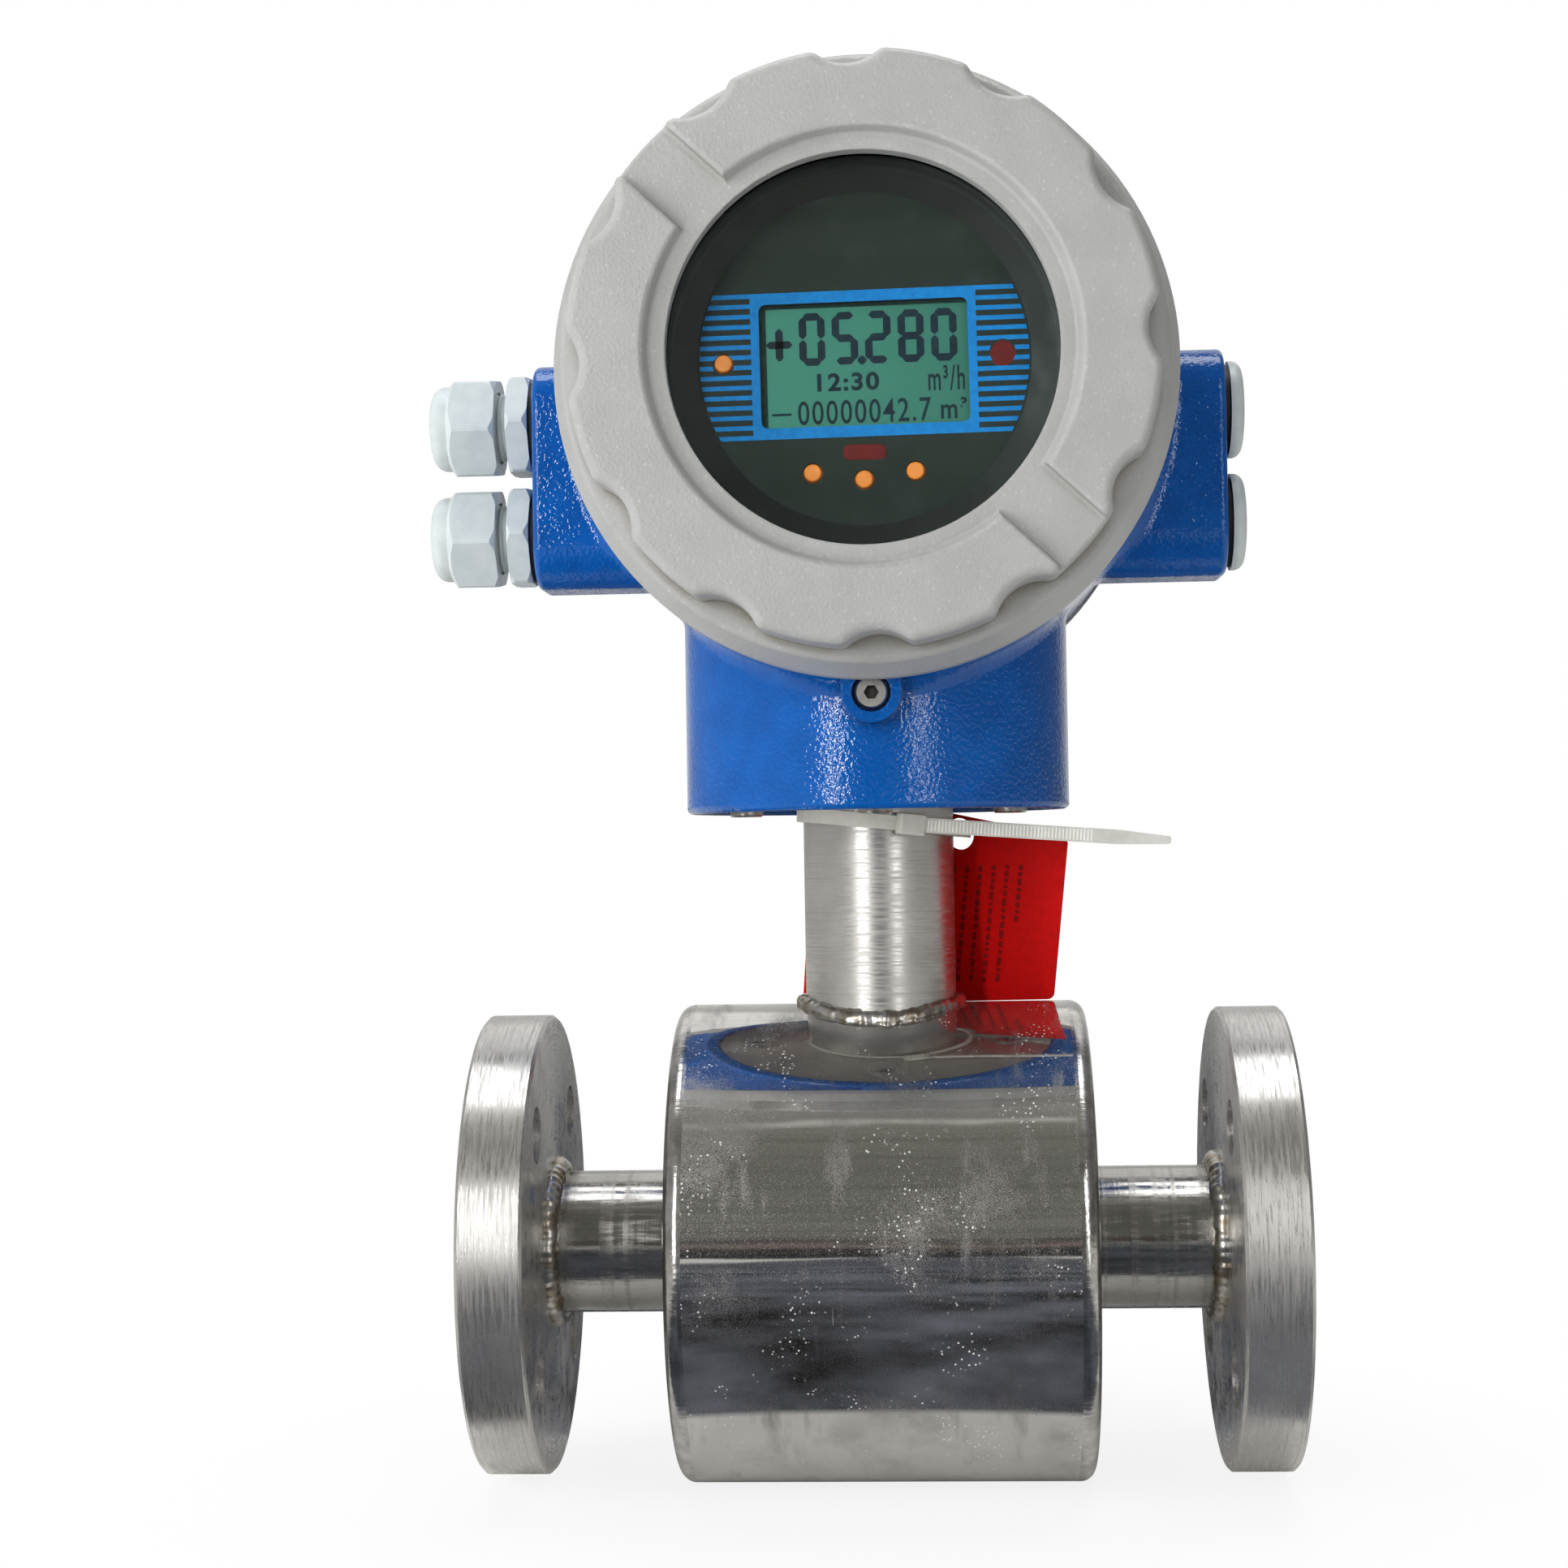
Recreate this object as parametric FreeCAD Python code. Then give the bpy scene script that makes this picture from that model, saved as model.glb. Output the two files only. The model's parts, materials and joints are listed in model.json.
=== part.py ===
import FreeCAD, Part

import math
import os

# Flanged electromagnetic flow meter with a round display head, in millimetres.
# Flow runs along +X, the head stands up along +Z and the display faces -Y.
# The origin is the middle of the flow bore.

V = FreeCAD.Vector
X, Y, Z = V(1, 0, 0), V(0, 1, 0), V(0, 0, 1)

# Gap left between nested pieces of one body, gap between pieces that move past each other,
# and how far one form is let into the next before they are joined into one casting.
SEAT = 0.05
RUN = 0.4
OVERLAP = 1.0

# Meter tube, flanges and liner (nominal bore 25, face to face 200).
FACE_X = 100.0
FLANGE_R = 57.5
FLANGE_T = 16.0
FLANGE_CHAMFER = 0.8
BOLT_PCD = 85.0
BOLT_R = 7.0
BOLT_COUNT = 4
TUBE_R = 17.75
TUBE_BORE_R = 14.5
LINER_BORE_R = 12.5
LINER_FLARE_R = 34.0
LINER_FLARE_T = 2.5
LINER_LIP_R = 0.6
WELD_LEG = 4.6
WELD_THROAT = 1.3

# Coil drum.
DRUM_R = 59.6
DRUM_HALF = 51.0
DRUM_WALL = 3.0
END_PLATE_T = 4.5
DRUM_EDGE_R = 3.6

# Field coils and electrodes inside the drum.
COIL_R = 24.0
COIL_H = 22.0
CORE_R = 9.0
POLE_SHOE_T = 3.0
POLE_SHOE_LENGTH = 40.0
POLE_SHOE_WIDTH = 26.0
YOKE_R = 54.5
YOKE_T = 2.5
YOKE_WIDTH = 24.0
ELECTRODE_HEAD_R = 4.0
ELECTRODE_R = 1.5
ELECTRODE_END = 31.0
BUSH_R = 4.0
BUSH_END = 22.0
ELECTRODE_NUT_AF = 7.0
ELECTRODE_NUT_T = 3.5

# Neck between drum and head.
NECK_R = 19.0
NECK_BORE_R = 16.5
NECK_WELD_R = 3.2
NECK_PLATE_R = 44.0
NECK_PLATE_T = 6.0
NECK_PLATE_RECESS = 3.0
NECK_GASKET_T = 1.0
NECK_SCREW_PCD = 67.0
NECK_SCREW_COUNT = 4
NECK_SCREW_R = 2.4
NECK_SCREW_HEAD_R = 4.25
NECK_SCREW_HEAD_H = 3.8
NECK_SCREW_LENGTH = 16.0

# Cast housing.
HEAD_Z = 211.2
BARREL_R = 72.3
BARREL_HALF = 54.6
THREAD_R = 66.6
THREAD_LENGTH = 12.0
CAVITY_R = 66.0
MOUTH_R = 61.0
MOUTH_LENGTH = 5.0
PARTITION_Y = -24.0
PARTITION_T = 4.0
WIRE_HOLE_R = 8.0
BASE_R = 48.4
BASE_Z = 108.1
BASE_HOLLOW_R = 41.0
BASE_HOLLOW_TOP = 162.0
BASE_EDGE_R = 1.5
SCREW_LUG_W = 12.0
SCREW_LUG_H = 22.0
LEFT_EAR_X = 85.0
RIGHT_EAR_X = 88.2
EAR_Z = 194.1
EAR_HEIGHT = 57.0
EAR_DEPTH = 34.0
EAR_CORNER_R = 11.0
EAR_END_R = 1.6
CAST_FILLET = 5.0
ENTRY_OFFSET = 14.25
ENTRY_R = 9.5
LOCK_Z = 135.4
LOCK_BOSS_R = 7.15
LOCK_BOSS_END = 54.2
LOCK_BORE_R = 4.6
LOCK_BORE_DEPTH = 4.0
LOCK_HEAD_R = 3.85
LOCK_HEAD_H = 3.6
LOCK_SHANK_R = 2.0
LOCK_LENGTH = 9.0

# Socket head screws, as shares of the head.
SOCKET_AF_SHARE = 0.8
SOCKET_DEPTH_SHARE = 0.6
HEAD_CHAMFER_SHARE = 0.1

# Screwed covers; heights run outwards from the skirt's inner edge.
COVER_GAP = 0.4
SKIRT_R = 73.0
SKIRT_H = 5.0
SKIRT_ROUND_R = 4.0
SHOULDER_R = 69.8
SHOULDER_H = 15.5
SHOULDER_ROUND_R = 2.0
SHOULDER_RISE = 1.0
CREST_R = 67.3
FRONT_H = 31.3
REAR_H = 24.0
FACE_EDGE_R = 2.2
PAD_EDGE_R = 1.0
GRIP_COUNT = 12
GRIP_PHASE = 92.0
BITE_R = 11.3
BITE_DEPTH = 3.4
BITE_LIP_R = 3.0
STEP_R = 49.6
STEP_SLOPE = 1.4
STEP_DEPTH = 2.8
WINDOW_R = 44.5
LIP_T = 4.0
GLASS_POCKET_R = 51.0
COLLAR_R = 55.0
CORE_OUT_R = 61.0
ROOF_T = 5.0
SLOT_W = 15.0
SLOT_ANGLE = 137.0
THREAD_BORE_R = THREAD_R + RUN
THREAD_BORE_H = 13.5
SEAL_GROOVE_R = 70.4
SEAL_GROOVE_H = (1.8, 5.2)
GASKET_T = 1.0
GASKET_SETBACK = 1.0
GLASS_R = 50.6
GLASS_T = 6.0
GLASS_RING_R = 46.3
GLASS_RING_T = 3.5

# Display stack; depths are distances in front of the head's axis.
PLATE_FRONT = 66.5
PLATE_T = 2.0
PLATE_R = 40.8
PLATE_SHOWN_R = 38.4
BEZEL_R = 45.6
BEZEL_FRONT = 71.5
BEZEL_RIM = 0.9
BOARD_FRONT = 58.0
BOARD_T = 1.6
DISPLAY_BOARD_R = 53.0
MAIN_BOARD_R = 56.0
MAIN_BOARD_FRONT = 40.0
LCD_W, LCD_H = 48.0, 28.6
LCD_Z = -1.0
LCD_TURN = -0.7
LCD_CORNER_R = 1.6
LCD_MARGIN = 4.0
LCD_T = 5.6
KEY_PLACES = {
    "left_key": (-32.4, -0.4),
    "down_key": (-12.2, -26.1),
    "enter_key": (-0.4, -27.8),
    "up_key": (11.4, -26.1),
}
KEY_R = 2.0
KEY_PROUD = 0.6
KEY_FLANGE_R = 2.9
KEY_FLANGE_T = 0.8
KEY_STEM_R = 1.4
KEY_END = 62.0
KEY_GAP = 0.35
KEY_CHAMFER = 0.3
KEY_HOLE_R = KEY_R + KEY_GAP
SWITCH_W = 6.0
SWITCH_CORNER_R = 0.5
SWITCH_H = 3.2
RED_DISC_PLACE = (31.8, 0.4)
RED_DISC_R = 2.95
RED_BAR_PLACE = (-0.2, -21.5)
RED_BAR_W, RED_BAR_H = 10.0, 3.6
RED_BAR_CORNER_R = 1.6
STANDOFF_PCD = 98.0
STANDOFF_COUNT = 4
STANDOFF_AF = 5.5
STANDOFF_HOLE_R = 1.6
LUG_R = 4.0
LUG_T = 3.0
BOARD_SCREW_HEAD_R = 2.75
BOARD_SCREW_HEAD_H = 1.8
BOARD_SCREW_R = 1.5
BOARD_SCREW_LENGTH = 10.0

# Terminal block on the rear side of the partition.
TERMINALS = 9
TERMINAL_PITCH = 9.0
TERMINAL_W = 7.2
TERMINAL_Z = -14.0
BLOCK_H = 24.0
BLOCK_BASE_T = 6.0
BLOCK_WALL_T = 14.0
TERMINAL_SCREW_R = 2.6

# Cable glands (left ear) and blind plugs (right ear), M20 class.
GLAND_AF = 24.0
NUT_TURN = 81.0
HEX_FACE_LAND = 0.5
HEX_CORNER_LAND = 1.6
HEX_CHAMFER = 1.1
WASHER_R = 11.3
WASHER_T = 1.8
STUB_R = 9.3
STUB_LENGTH = 10.0
GLAND_HEX_T = 5.6
GLAND_GAP = 3.0
GLAND_THREAD_R = 8.85
GLAND_THREAD_PITCH = 1.5
GLAND_THREAD_DEPTH = 0.7
GLAND_THREAD_LENGTH = 10.5
GLAND_BORE_R = 7.5
NUT_HEX_T = 12.4
NUT_DOME_H = 4.6
NUT_SHOULDER = 2.0
NUT_COLLAR_R = 10.8
NUT_DOME_R = 3.4
NUT_MOUTH_R = 6.4
NUT_ROOF_T = 5.5
CABLE_R = 5.0
GLAND_SEAL_R = 7.0
SEAL_STANDOFF = 1.0
PLUG_R = 12.2
PLUG_T = 3.4
PLUG_ROUND_R = 2.6

# Cable tie round the neck and the card tag hung on it.
TIE_R = 20.9
TIE_Z = 105.35
TIE_LEAN = 45.0
TIE_T = 1.2
TIE_W = 3.6
TIE_SLOPE = 6.2
TIE_HEAD_ANGLE = -72.0
TIE_HEAD = (6.7, 4.4, 5.4)
TIE_TAIL_END = V(72.0, -21.0, 99.6)
TIE_TAIL_TIP_W = 1.9
TIE_TAPER_START = 0.8
TIE_ROUND_R = 0.6
TAG_T = 0.4
TAG_BEARING = 60.0
TAG_DISTANCE = 19.3
TAG_TILT = 6.0
TAG_OUTLINE = [
    (-39.3, 56.8, 2.0),
    (36.6, 59.6, 2.0),
    (43.8, 100.8, 2.0),
    (9.0, 107.9, 3.0),
    (-34.5, 88.0, 3.0),
]
TAG_HOLE = (12.8, 102.2)
TAG_HOLE_R = 4.1

COVER_Y = BARREL_HALF + COVER_GAP
NECK_TOP = BASE_Z + NECK_PLATE_RECESS + NECK_PLATE_T
STEP_TOP = NECK_TOP + NECK_GASKET_T
HEAD_CENTRE = V(0, 0, HEAD_Z)


def outline(points):
    """Closed wire in the XY plane; a third value rounds that corner with a tangent arc."""
    corners = []
    count = len(points)
    for index, point in enumerate(points):
        here = V(point[0], point[1], 0)
        radius = point[2] if len(point) > 2 else 0
        if not radius:
            corners.append((here, None, here))
            continue
        before = points[index - 1]
        after = points[(index + 1) % count]
        back = (V(before[0], before[1], 0) - here).normalize()
        ahead = (V(after[0], after[1], 0) - here).normalize()
        half = back.getAngle(ahead) / 2
        reach = radius / math.tan(half)
        inward = (back + ahead).normalize()
        middle = here + inward * (radius / math.sin(half) - radius)
        corners.append((here + back * reach, middle, here + ahead * reach))
    edges = []
    for index, (start, middle, end) in enumerate(corners):
        if middle:
            edges.append(Part.Arc(start, middle, end).toShape())
        following = corners[(index + 1) % count][0]
        if (following - end).Length > 1e-6:
            edges.append(Part.LineSegment(end, following).toShape())
    return Part.Wire(edges)


def placed(shape, base, axis):
    """Move a shape from the origin, standing along Z, to a base point and an axis."""
    moved = shape.copy()
    moved.Placement = FreeCAD.Placement(base, FreeCAD.Rotation(Z, axis)) * moved.Placement
    return moved


def prism(wire, height, base, axis):
    """Straight extrusion of an outline along an axis."""
    return placed(Part.Face(wire).extrude(Z * height), base, axis)


def turned(profile, base, axis):
    """Turned piece from a profile of (radius, height) points."""
    solid = Part.Face(outline(profile)).revolve(V(0, 0, 0), Y, 360)
    solid.rotate(V(0, 0, 0), X, 90)
    return placed(solid, base, axis)


def tube(outer, inner, length, base, axis):
    """Plain ring or sleeve."""
    return turned([(inner, 0), (outer, 0), (outer, length), (inner, length)], base, axis)


def rod(radius, length, base, axis):
    """Plain round bar."""
    return Part.makeCylinder(radius, length, base, axis)


def hexagon(across_flats, turn=0):
    """Regular hexagon outline; at zero turn a corner points along local X."""
    radius = across_flats / math.sqrt(3)
    angles = [math.radians(60 * step + turn) for step in range(6)]
    return outline([(radius * math.cos(a), radius * math.sin(a)) for a in angles])


def rectangle(width, height, corner, centre=(0, 0)):
    """Rounded rectangle outline."""
    cx, cy = centre
    signs = [(-1, -1), (1, -1), (1, 1), (-1, 1)]
    return outline([(cx + sx * width / 2, cy + sy * height / 2, corner) for sx, sy in signs])


def around(radius, count, first):
    """Points of an evenly spaced circle in a plane."""
    angles = [math.radians(first + 360 * step / count) for step in range(count)]
    return [(radius * math.cos(a), radius * math.sin(a)) for a in angles]


def edges_near(shape, test):
    """Edges whose middle point passes a test."""
    return [edge for edge in shape.Edges if test(edge.CenterOfMass)]


def sensor():
    """Flanged tube, liner, electrodes, coils and the drum round them."""
    parts = {}
    sides = {"inlet": -1, "outlet": 1}
    flange_profile = [
        (TUBE_R + SEAT, 0),
        (FLANGE_R - FLANGE_CHAMFER, 0),
        (FLANGE_R, FLANGE_CHAMFER),
        (FLANGE_R, FLANGE_T - FLANGE_CHAMFER),
        (FLANGE_R - FLANGE_CHAMFER, FLANGE_T),
        (LINER_FLARE_R, FLANGE_T),
        (LINER_FLARE_R, FLANGE_T - LINER_FLARE_T),
        (TUBE_R + SEAT, FLANGE_T - LINER_FLARE_T),
    ]
    weld_profile = [
        (TUBE_R + SEAT, 0),
        (TUBE_R + WELD_LEG, 0),
        (TUBE_R + WELD_THROAT, WELD_THROAT),
        (TUBE_R + SEAT, WELD_LEG),
    ]
    plate_profile = [
        (TUBE_R + SEAT, 0),
        (DRUM_R, 0),
        (DRUM_R, END_PLATE_T, DRUM_EDGE_R),
        (TUBE_R + SEAT, END_PLATE_T),
    ]
    welds = []
    for side, sign in sides.items():
        out = X * sign
        flange = turned(flange_profile, out * (FACE_X - FLANGE_T), out)
        for y, z in around(BOLT_PCD / 2, BOLT_COUNT, 45):
            flange = flange.cut(rod(BOLT_R, 3 * FLANGE_T, out * (FACE_X - 2 * FLANGE_T) + V(0, y, z), out))
        parts[side + "_flange"] = flange
        parts[side + "_end_plate"] = turned(plate_profile, out * (DRUM_HALF - END_PLATE_T), out)
        welds.append(turned(weld_profile, out * (FACE_X - FLANGE_T), out * -1))
        welds.append(turned(weld_profile, out * DRUM_HALF, out))
    parts["tube_welds"] = Part.makeCompound(welds)

    tube_half = FACE_X - LINER_FLARE_T
    measuring = tube(TUBE_R, TUBE_BORE_R, 2 * tube_half, X * -tube_half, X)
    liner_r = TUBE_BORE_R - SEAT
    flare_r = LINER_FLARE_R - SEAT
    liner = turned(
        [
            (LINER_BORE_R, -FACE_X, LINER_LIP_R),
            (flare_r, -FACE_X),
            (flare_r, -tube_half),
            (liner_r, -tube_half),
            (liner_r, tube_half),
            (flare_r, tube_half),
            (flare_r, FACE_X),
            (LINER_BORE_R, FACE_X, LINER_LIP_R),
        ],
        V(0, 0, 0),
        X,
    )
    bushes = []
    nuts = []
    for side, sign in {"front": -1, "rear": 1}.items():
        out = Y * sign
        measuring = measuring.cut(rod(BUSH_R + SEAT, TUBE_R, out * LINER_BORE_R, out))
        liner = liner.cut(rod(ELECTRODE_HEAD_R + SEAT, TUBE_R, V(0, 0, 0), out))
        head_end = TUBE_BORE_R - SEAT
        parts[side + "_electrode"] = turned(
            [
                (0, LINER_BORE_R + SEAT),
                (ELECTRODE_HEAD_R, LINER_BORE_R + SEAT),
                (ELECTRODE_HEAD_R, head_end),
                (ELECTRODE_R, head_end),
                (ELECTRODE_R, ELECTRODE_END),
                (0, ELECTRODE_END),
            ],
            V(0, 0, 0),
            out,
        )
        bushes.append(tube(BUSH_R, ELECTRODE_R + SEAT, BUSH_END - TUBE_BORE_R, out * TUBE_BORE_R, out))
        nut = prism(hexagon(ELECTRODE_NUT_AF), ELECTRODE_NUT_T, out * BUSH_END, out)
        nuts.append(nut.cut(rod(ELECTRODE_R + SEAT, ELECTRODE_NUT_T, out * BUSH_END, out)))
    parts["measuring_tube"] = measuring
    parts["liner"] = liner
    parts["electrode_bushes"] = Part.makeCompound(bushes)
    parts["electrode_nuts"] = Part.makeCompound(nuts)

    yoke_bore = YOKE_R - YOKE_T
    tube_clearance = rod(TUBE_R + SEAT, POLE_SHOE_LENGTH, X * (-POLE_SHOE_LENGTH / 2), X)
    for side, sign in {"upper": 1, "lower": -1}.items():
        up = Z * sign
        coil_base = (yoke_bore + TUBE_R - COIL_H) / 2
        parts[side + "_coil"] = tube(COIL_R, CORE_R + SEAT, COIL_H, up * coil_base, up)
        shoe = rod(TUBE_R + POLE_SHOE_T, POLE_SHOE_LENGTH, X * (-POLE_SHOE_LENGTH / 2), X)
        window = Part.makeBox(POLE_SHOE_LENGTH, POLE_SHOE_WIDTH, 2 * TUBE_R)
        window.translate(V(-POLE_SHOE_LENGTH / 2, -POLE_SHOE_WIDTH / 2, 0))
        if sign < 0:
            window.translate(Z * (-2 * TUBE_R))
        core = rod(CORE_R, yoke_bore - SEAT, V(0, 0, 0), up)
        core = core.common(rod(yoke_bore - SEAT, 2 * CORE_R, X * -CORE_R, X))
        parts[side + "_pole_core"] = shoe.common(window).fuse(core).cut(tube_clearance).removeSplitter()
    parts["flux_yoke"] = tube(YOKE_R, yoke_bore, YOKE_WIDTH, X * (-YOKE_WIDTH / 2), X)

    shell_half = DRUM_HALF - END_PLATE_T
    shell = tube(DRUM_R, DRUM_R - DRUM_WALL, 2 * shell_half, X * -shell_half, X)
    parts["drum_shell"] = shell.cut(rod(NECK_BORE_R, 2 * DRUM_R, V(0, 0, 0), Z))
    return parts


def neck():
    """Neck tube, its foot weld, and the plate that carries the head."""
    parts = {}
    drum = rod(DRUM_R, 2 * DRUM_HALF, X * -DRUM_HALF, X)
    post = rod(NECK_R, NECK_TOP, V(0, 0, 0), Z)
    joined = drum.fuse(post)
    foot = edges_near(joined, lambda p: p.z > DRUM_R - NECK_R / 2 and abs(p.x) < NECK_R)
    foot = [edge for edge in foot if edge.BoundBox.ZMax < DRUM_R + 1]
    parts["neck_weld"] = joined.makeFillet(NECK_WELD_R, foot).cut(joined)

    hollow = rod(NECK_BORE_R, 2 * NECK_TOP, V(0, 0, 0), Z)
    parts["neck_tube"] = post.cut(drum).cut(hollow)

    plate_z = BASE_Z + NECK_PLATE_RECESS
    plate = tube(NECK_PLATE_R, NECK_R + SEAT, NECK_PLATE_T, Z * plate_z, Z)
    screws = []
    for x, y in around(NECK_SCREW_PCD / 2, NECK_SCREW_COUNT, 0):
        plate = plate.cut(rod(NECK_SCREW_R + SEAT, NECK_PLATE_T, V(x, y, plate_z), Z))
        screws.append(socket_screw(
            NECK_SCREW_HEAD_R, NECK_SCREW_HEAD_H, NECK_SCREW_R, NECK_SCREW_LENGTH, V(x, y, plate_z), Z * -1))
    parts["neck_plate"] = plate
    parts["neck_screws"] = Part.makeCompound(screws)
    parts["neck_gasket"] = tube(NECK_PLATE_R, BASE_HOLLOW_R, NECK_GASKET_T, Z * NECK_TOP, Z)
    return parts


def socket_screw(head_r, head_h, shank_r, length, seat, out):
    """Socket head screw; its head stands out of the seat and its shank goes in."""
    chamfer = HEAD_CHAMFER_SHARE * head_r
    body = turned(
        [
            (0, -length),
            (shank_r, -length),
            (shank_r, 0),
            (head_r, 0),
            (head_r, head_h - chamfer),
            (head_r - chamfer, head_h),
            (0, head_h),
        ],
        seat,
        out,
    )
    depth = SOCKET_DEPTH_SHARE * head_h
    socket = prism(hexagon(SOCKET_AF_SHARE * head_r), depth, seat + out * (head_h - depth), out)
    return body.cut(socket)


def housing():
    """Blue casting: barrel, base, ears, thread collars and lock screw bosses."""
    barrel = rod(BARREL_R, 2 * BARREL_HALF, HEAD_CENTRE - Y * BARREL_HALF, Y)
    base = rod(BASE_R, HEAD_Z - BASE_Z, Z * BASE_Z, Z)
    ear_wire = rectangle(EAR_HEIGHT, EAR_DEPTH, EAR_CORNER_R)
    ears = prism(ear_wire, LEFT_EAR_X + RIGHT_EAR_X, V(-LEFT_EAR_X, 0, EAR_Z), X)
    ends = edges_near(ears, lambda p: p.x < SEAT - LEFT_EAR_X or p.x > RIGHT_EAR_X - SEAT)
    ears = ears.makeFillet(EAR_END_R, ends)
    body = barrel.fuse([base, ears]).removeSplitter()

    def meets_barrel(point):
        off_skin = abs(math.hypot(point.x, point.z - HEAD_Z) - BARREL_R)
        return off_skin < SEAT and abs(point.y) < BARREL_HALF - OVERLAP

    seams = [edge for edge in body.Edges if all(meets_barrel(p) for p in edge.discretize(5))]
    body = body.makeFillet(CAST_FILLET, seams)
    foot = edges_near(body, lambda p: abs(p.z - BASE_Z) < 0.01)
    body = body.makeFillet(BASE_EDGE_R, foot)

    collar_half = BARREL_HALF + THREAD_LENGTH
    body = body.fuse(rod(THREAD_R, 2 * collar_half, HEAD_CENTRE - Y * collar_half, Y))
    for sign in (-1, 1):
        out = Y * sign
        boss_length = LOCK_BOSS_END - BASE_HOLLOW_R
        seat = V(0, sign * LOCK_BOSS_END, LOCK_Z)
        boss = rod(LOCK_BOSS_R, boss_length, seat, out * -1)
        rise = HEAD_Z - BARREL_R + 2 * OVERLAP - LOCK_Z
        web = Part.makeBox(2 * LOCK_BOSS_R, boss_length, rise)
        web.translate(V(-LOCK_BOSS_R, min(seat.y, seat.y - sign * boss_length), LOCK_Z))
        body = body.fuse(boss.fuse(web).removeSplitter())

    mouth_start = collar_half - MOUTH_LENGTH - THREAD_LENGTH
    cavity = turned(
        [
            (0, -collar_half),
            (MOUTH_R, -collar_half),
            (MOUTH_R, -mouth_start - MOUTH_LENGTH),
            (CAVITY_R, -mouth_start),
            (CAVITY_R, mouth_start),
            (MOUTH_R, mouth_start + MOUTH_LENGTH),
            (MOUTH_R, collar_half),
            (0, collar_half),
        ],
        HEAD_CENTRE,
        Y,
    )
    hollow = rod(BASE_HOLLOW_R, BASE_HOLLOW_TOP - BASE_Z, Z * BASE_Z, Z)
    recess = rod(NECK_PLATE_R + RUN, STEP_TOP - BASE_Z, Z * BASE_Z, Z)
    for space in (cavity, hollow, recess):
        body = body.cut(space)

    wall = rod(CAVITY_R + OVERLAP, PARTITION_T, HEAD_CENTRE + Y * PARTITION_Y, Y)
    body = body.fuse(wall.cut(rod(WIRE_HOLE_R, PARTITION_T, V(0, PARTITION_Y, HEAD_Z + CAVITY_R / 2), Y)))
    lug_inner = NECK_SCREW_PCD / 2 - SCREW_LUG_W / 2
    lug_length = BASE_HOLLOW_R + OVERLAP - lug_inner
    for index in range(NECK_SCREW_COUNT):
        lug = Part.makeBox(lug_length, SCREW_LUG_W, SCREW_LUG_H, V(lug_inner, -SCREW_LUG_W / 2, STEP_TOP))
        lug.rotate(V(0, 0, 0), Z, 360 * index / NECK_SCREW_COUNT)
        body = body.fuse(lug)

    holes = []
    for x, y in around(NECK_SCREW_PCD / 2, NECK_SCREW_COUNT, 0):
        holes.append(rod(NECK_SCREW_R + SEAT, NECK_SCREW_LENGTH, V(x, y, NECK_TOP), Z))
    for sign, ear_x in ((-1, LEFT_EAR_X), (1, RIGHT_EAR_X)):
        for offset in (-ENTRY_OFFSET, ENTRY_OFFSET):
            start = V(sign * (ear_x + OVERLAP), 0, EAR_Z + offset)
            holes.append(rod(ENTRY_R, ear_x - CAVITY_R / 2, start, X * -sign))
        seat = V(0, sign * LOCK_BOSS_END, LOCK_Z)
        holes.append(rod(LOCK_BORE_R, LOCK_BORE_DEPTH, seat, Y * -sign))
        holes.append(rod(LOCK_SHANK_R + SEAT, LOCK_BORE_DEPTH + LOCK_LENGTH, seat, Y * -sign))
    for hole in holes:
        body = body.cut(hole)
    return {"housing": body}


def lock_screws():
    """One socket screw under each cover."""
    screws = []
    for sign in (-1, 1):
        out = Y * sign
        seat = V(0, sign * (LOCK_BOSS_END - LOCK_BORE_DEPTH), LOCK_Z)
        screws.append(socket_screw(LOCK_HEAD_R, LOCK_HEAD_H, LOCK_SHANK_R, LOCK_LENGTH, seat, out))
    return {"lock_screws": Part.makeCompound(screws)}


def grip_outline():
    """Scalloped grip: crest arcs, rounded lips and concave bites."""
    bite_centre = CREST_R - BITE_DEPTH + BITE_R
    lip_centre = CREST_R - BITE_LIP_R
    apart = BITE_R + BITE_LIP_R
    cosine = (bite_centre ** 2 + lip_centre ** 2 - apart ** 2) / (2 * bite_centre * lip_centre)
    lip_angle = math.acos(cosine)

    def polar(radius, angle):
        return V(radius * math.cos(angle), radius * math.sin(angle), 0)

    edges = []
    pitch = 2 * math.pi / GRIP_COUNT
    for step in range(GRIP_COUNT):
        middle = math.radians(GRIP_PHASE) + step * pitch
        bite = polar(bite_centre, middle)
        joints = []
        for sign in (-1, 1):
            lip = polar(lip_centre, middle + sign * lip_angle)
            towards = (bite - lip).normalize()
            top = polar(CREST_R, middle + sign * lip_angle)
            halfway = (towards + (top - lip).normalize()).normalize()
            joints.append((top, lip + halfway * BITE_LIP_R, lip + towards * BITE_LIP_R))
        (top_a, lip_a, low_a), (top_b, lip_b, low_b) = joints
        edges.append(Part.Arc(top_a, lip_a, low_a).toShape())
        edges.append(Part.Arc(low_a, polar(CREST_R - BITE_DEPTH, middle), low_b).toShape())
        edges.append(Part.Arc(low_b, lip_b, top_b).toShape())
        crest_start = middle + lip_angle
        crest_end = middle + pitch - lip_angle
        crest = [polar(CREST_R, a) for a in (crest_start, (crest_start + crest_end) / 2, crest_end)]
        edges.append(Part.Arc(*crest).toShape())
    return Part.Wire(edges)


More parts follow.
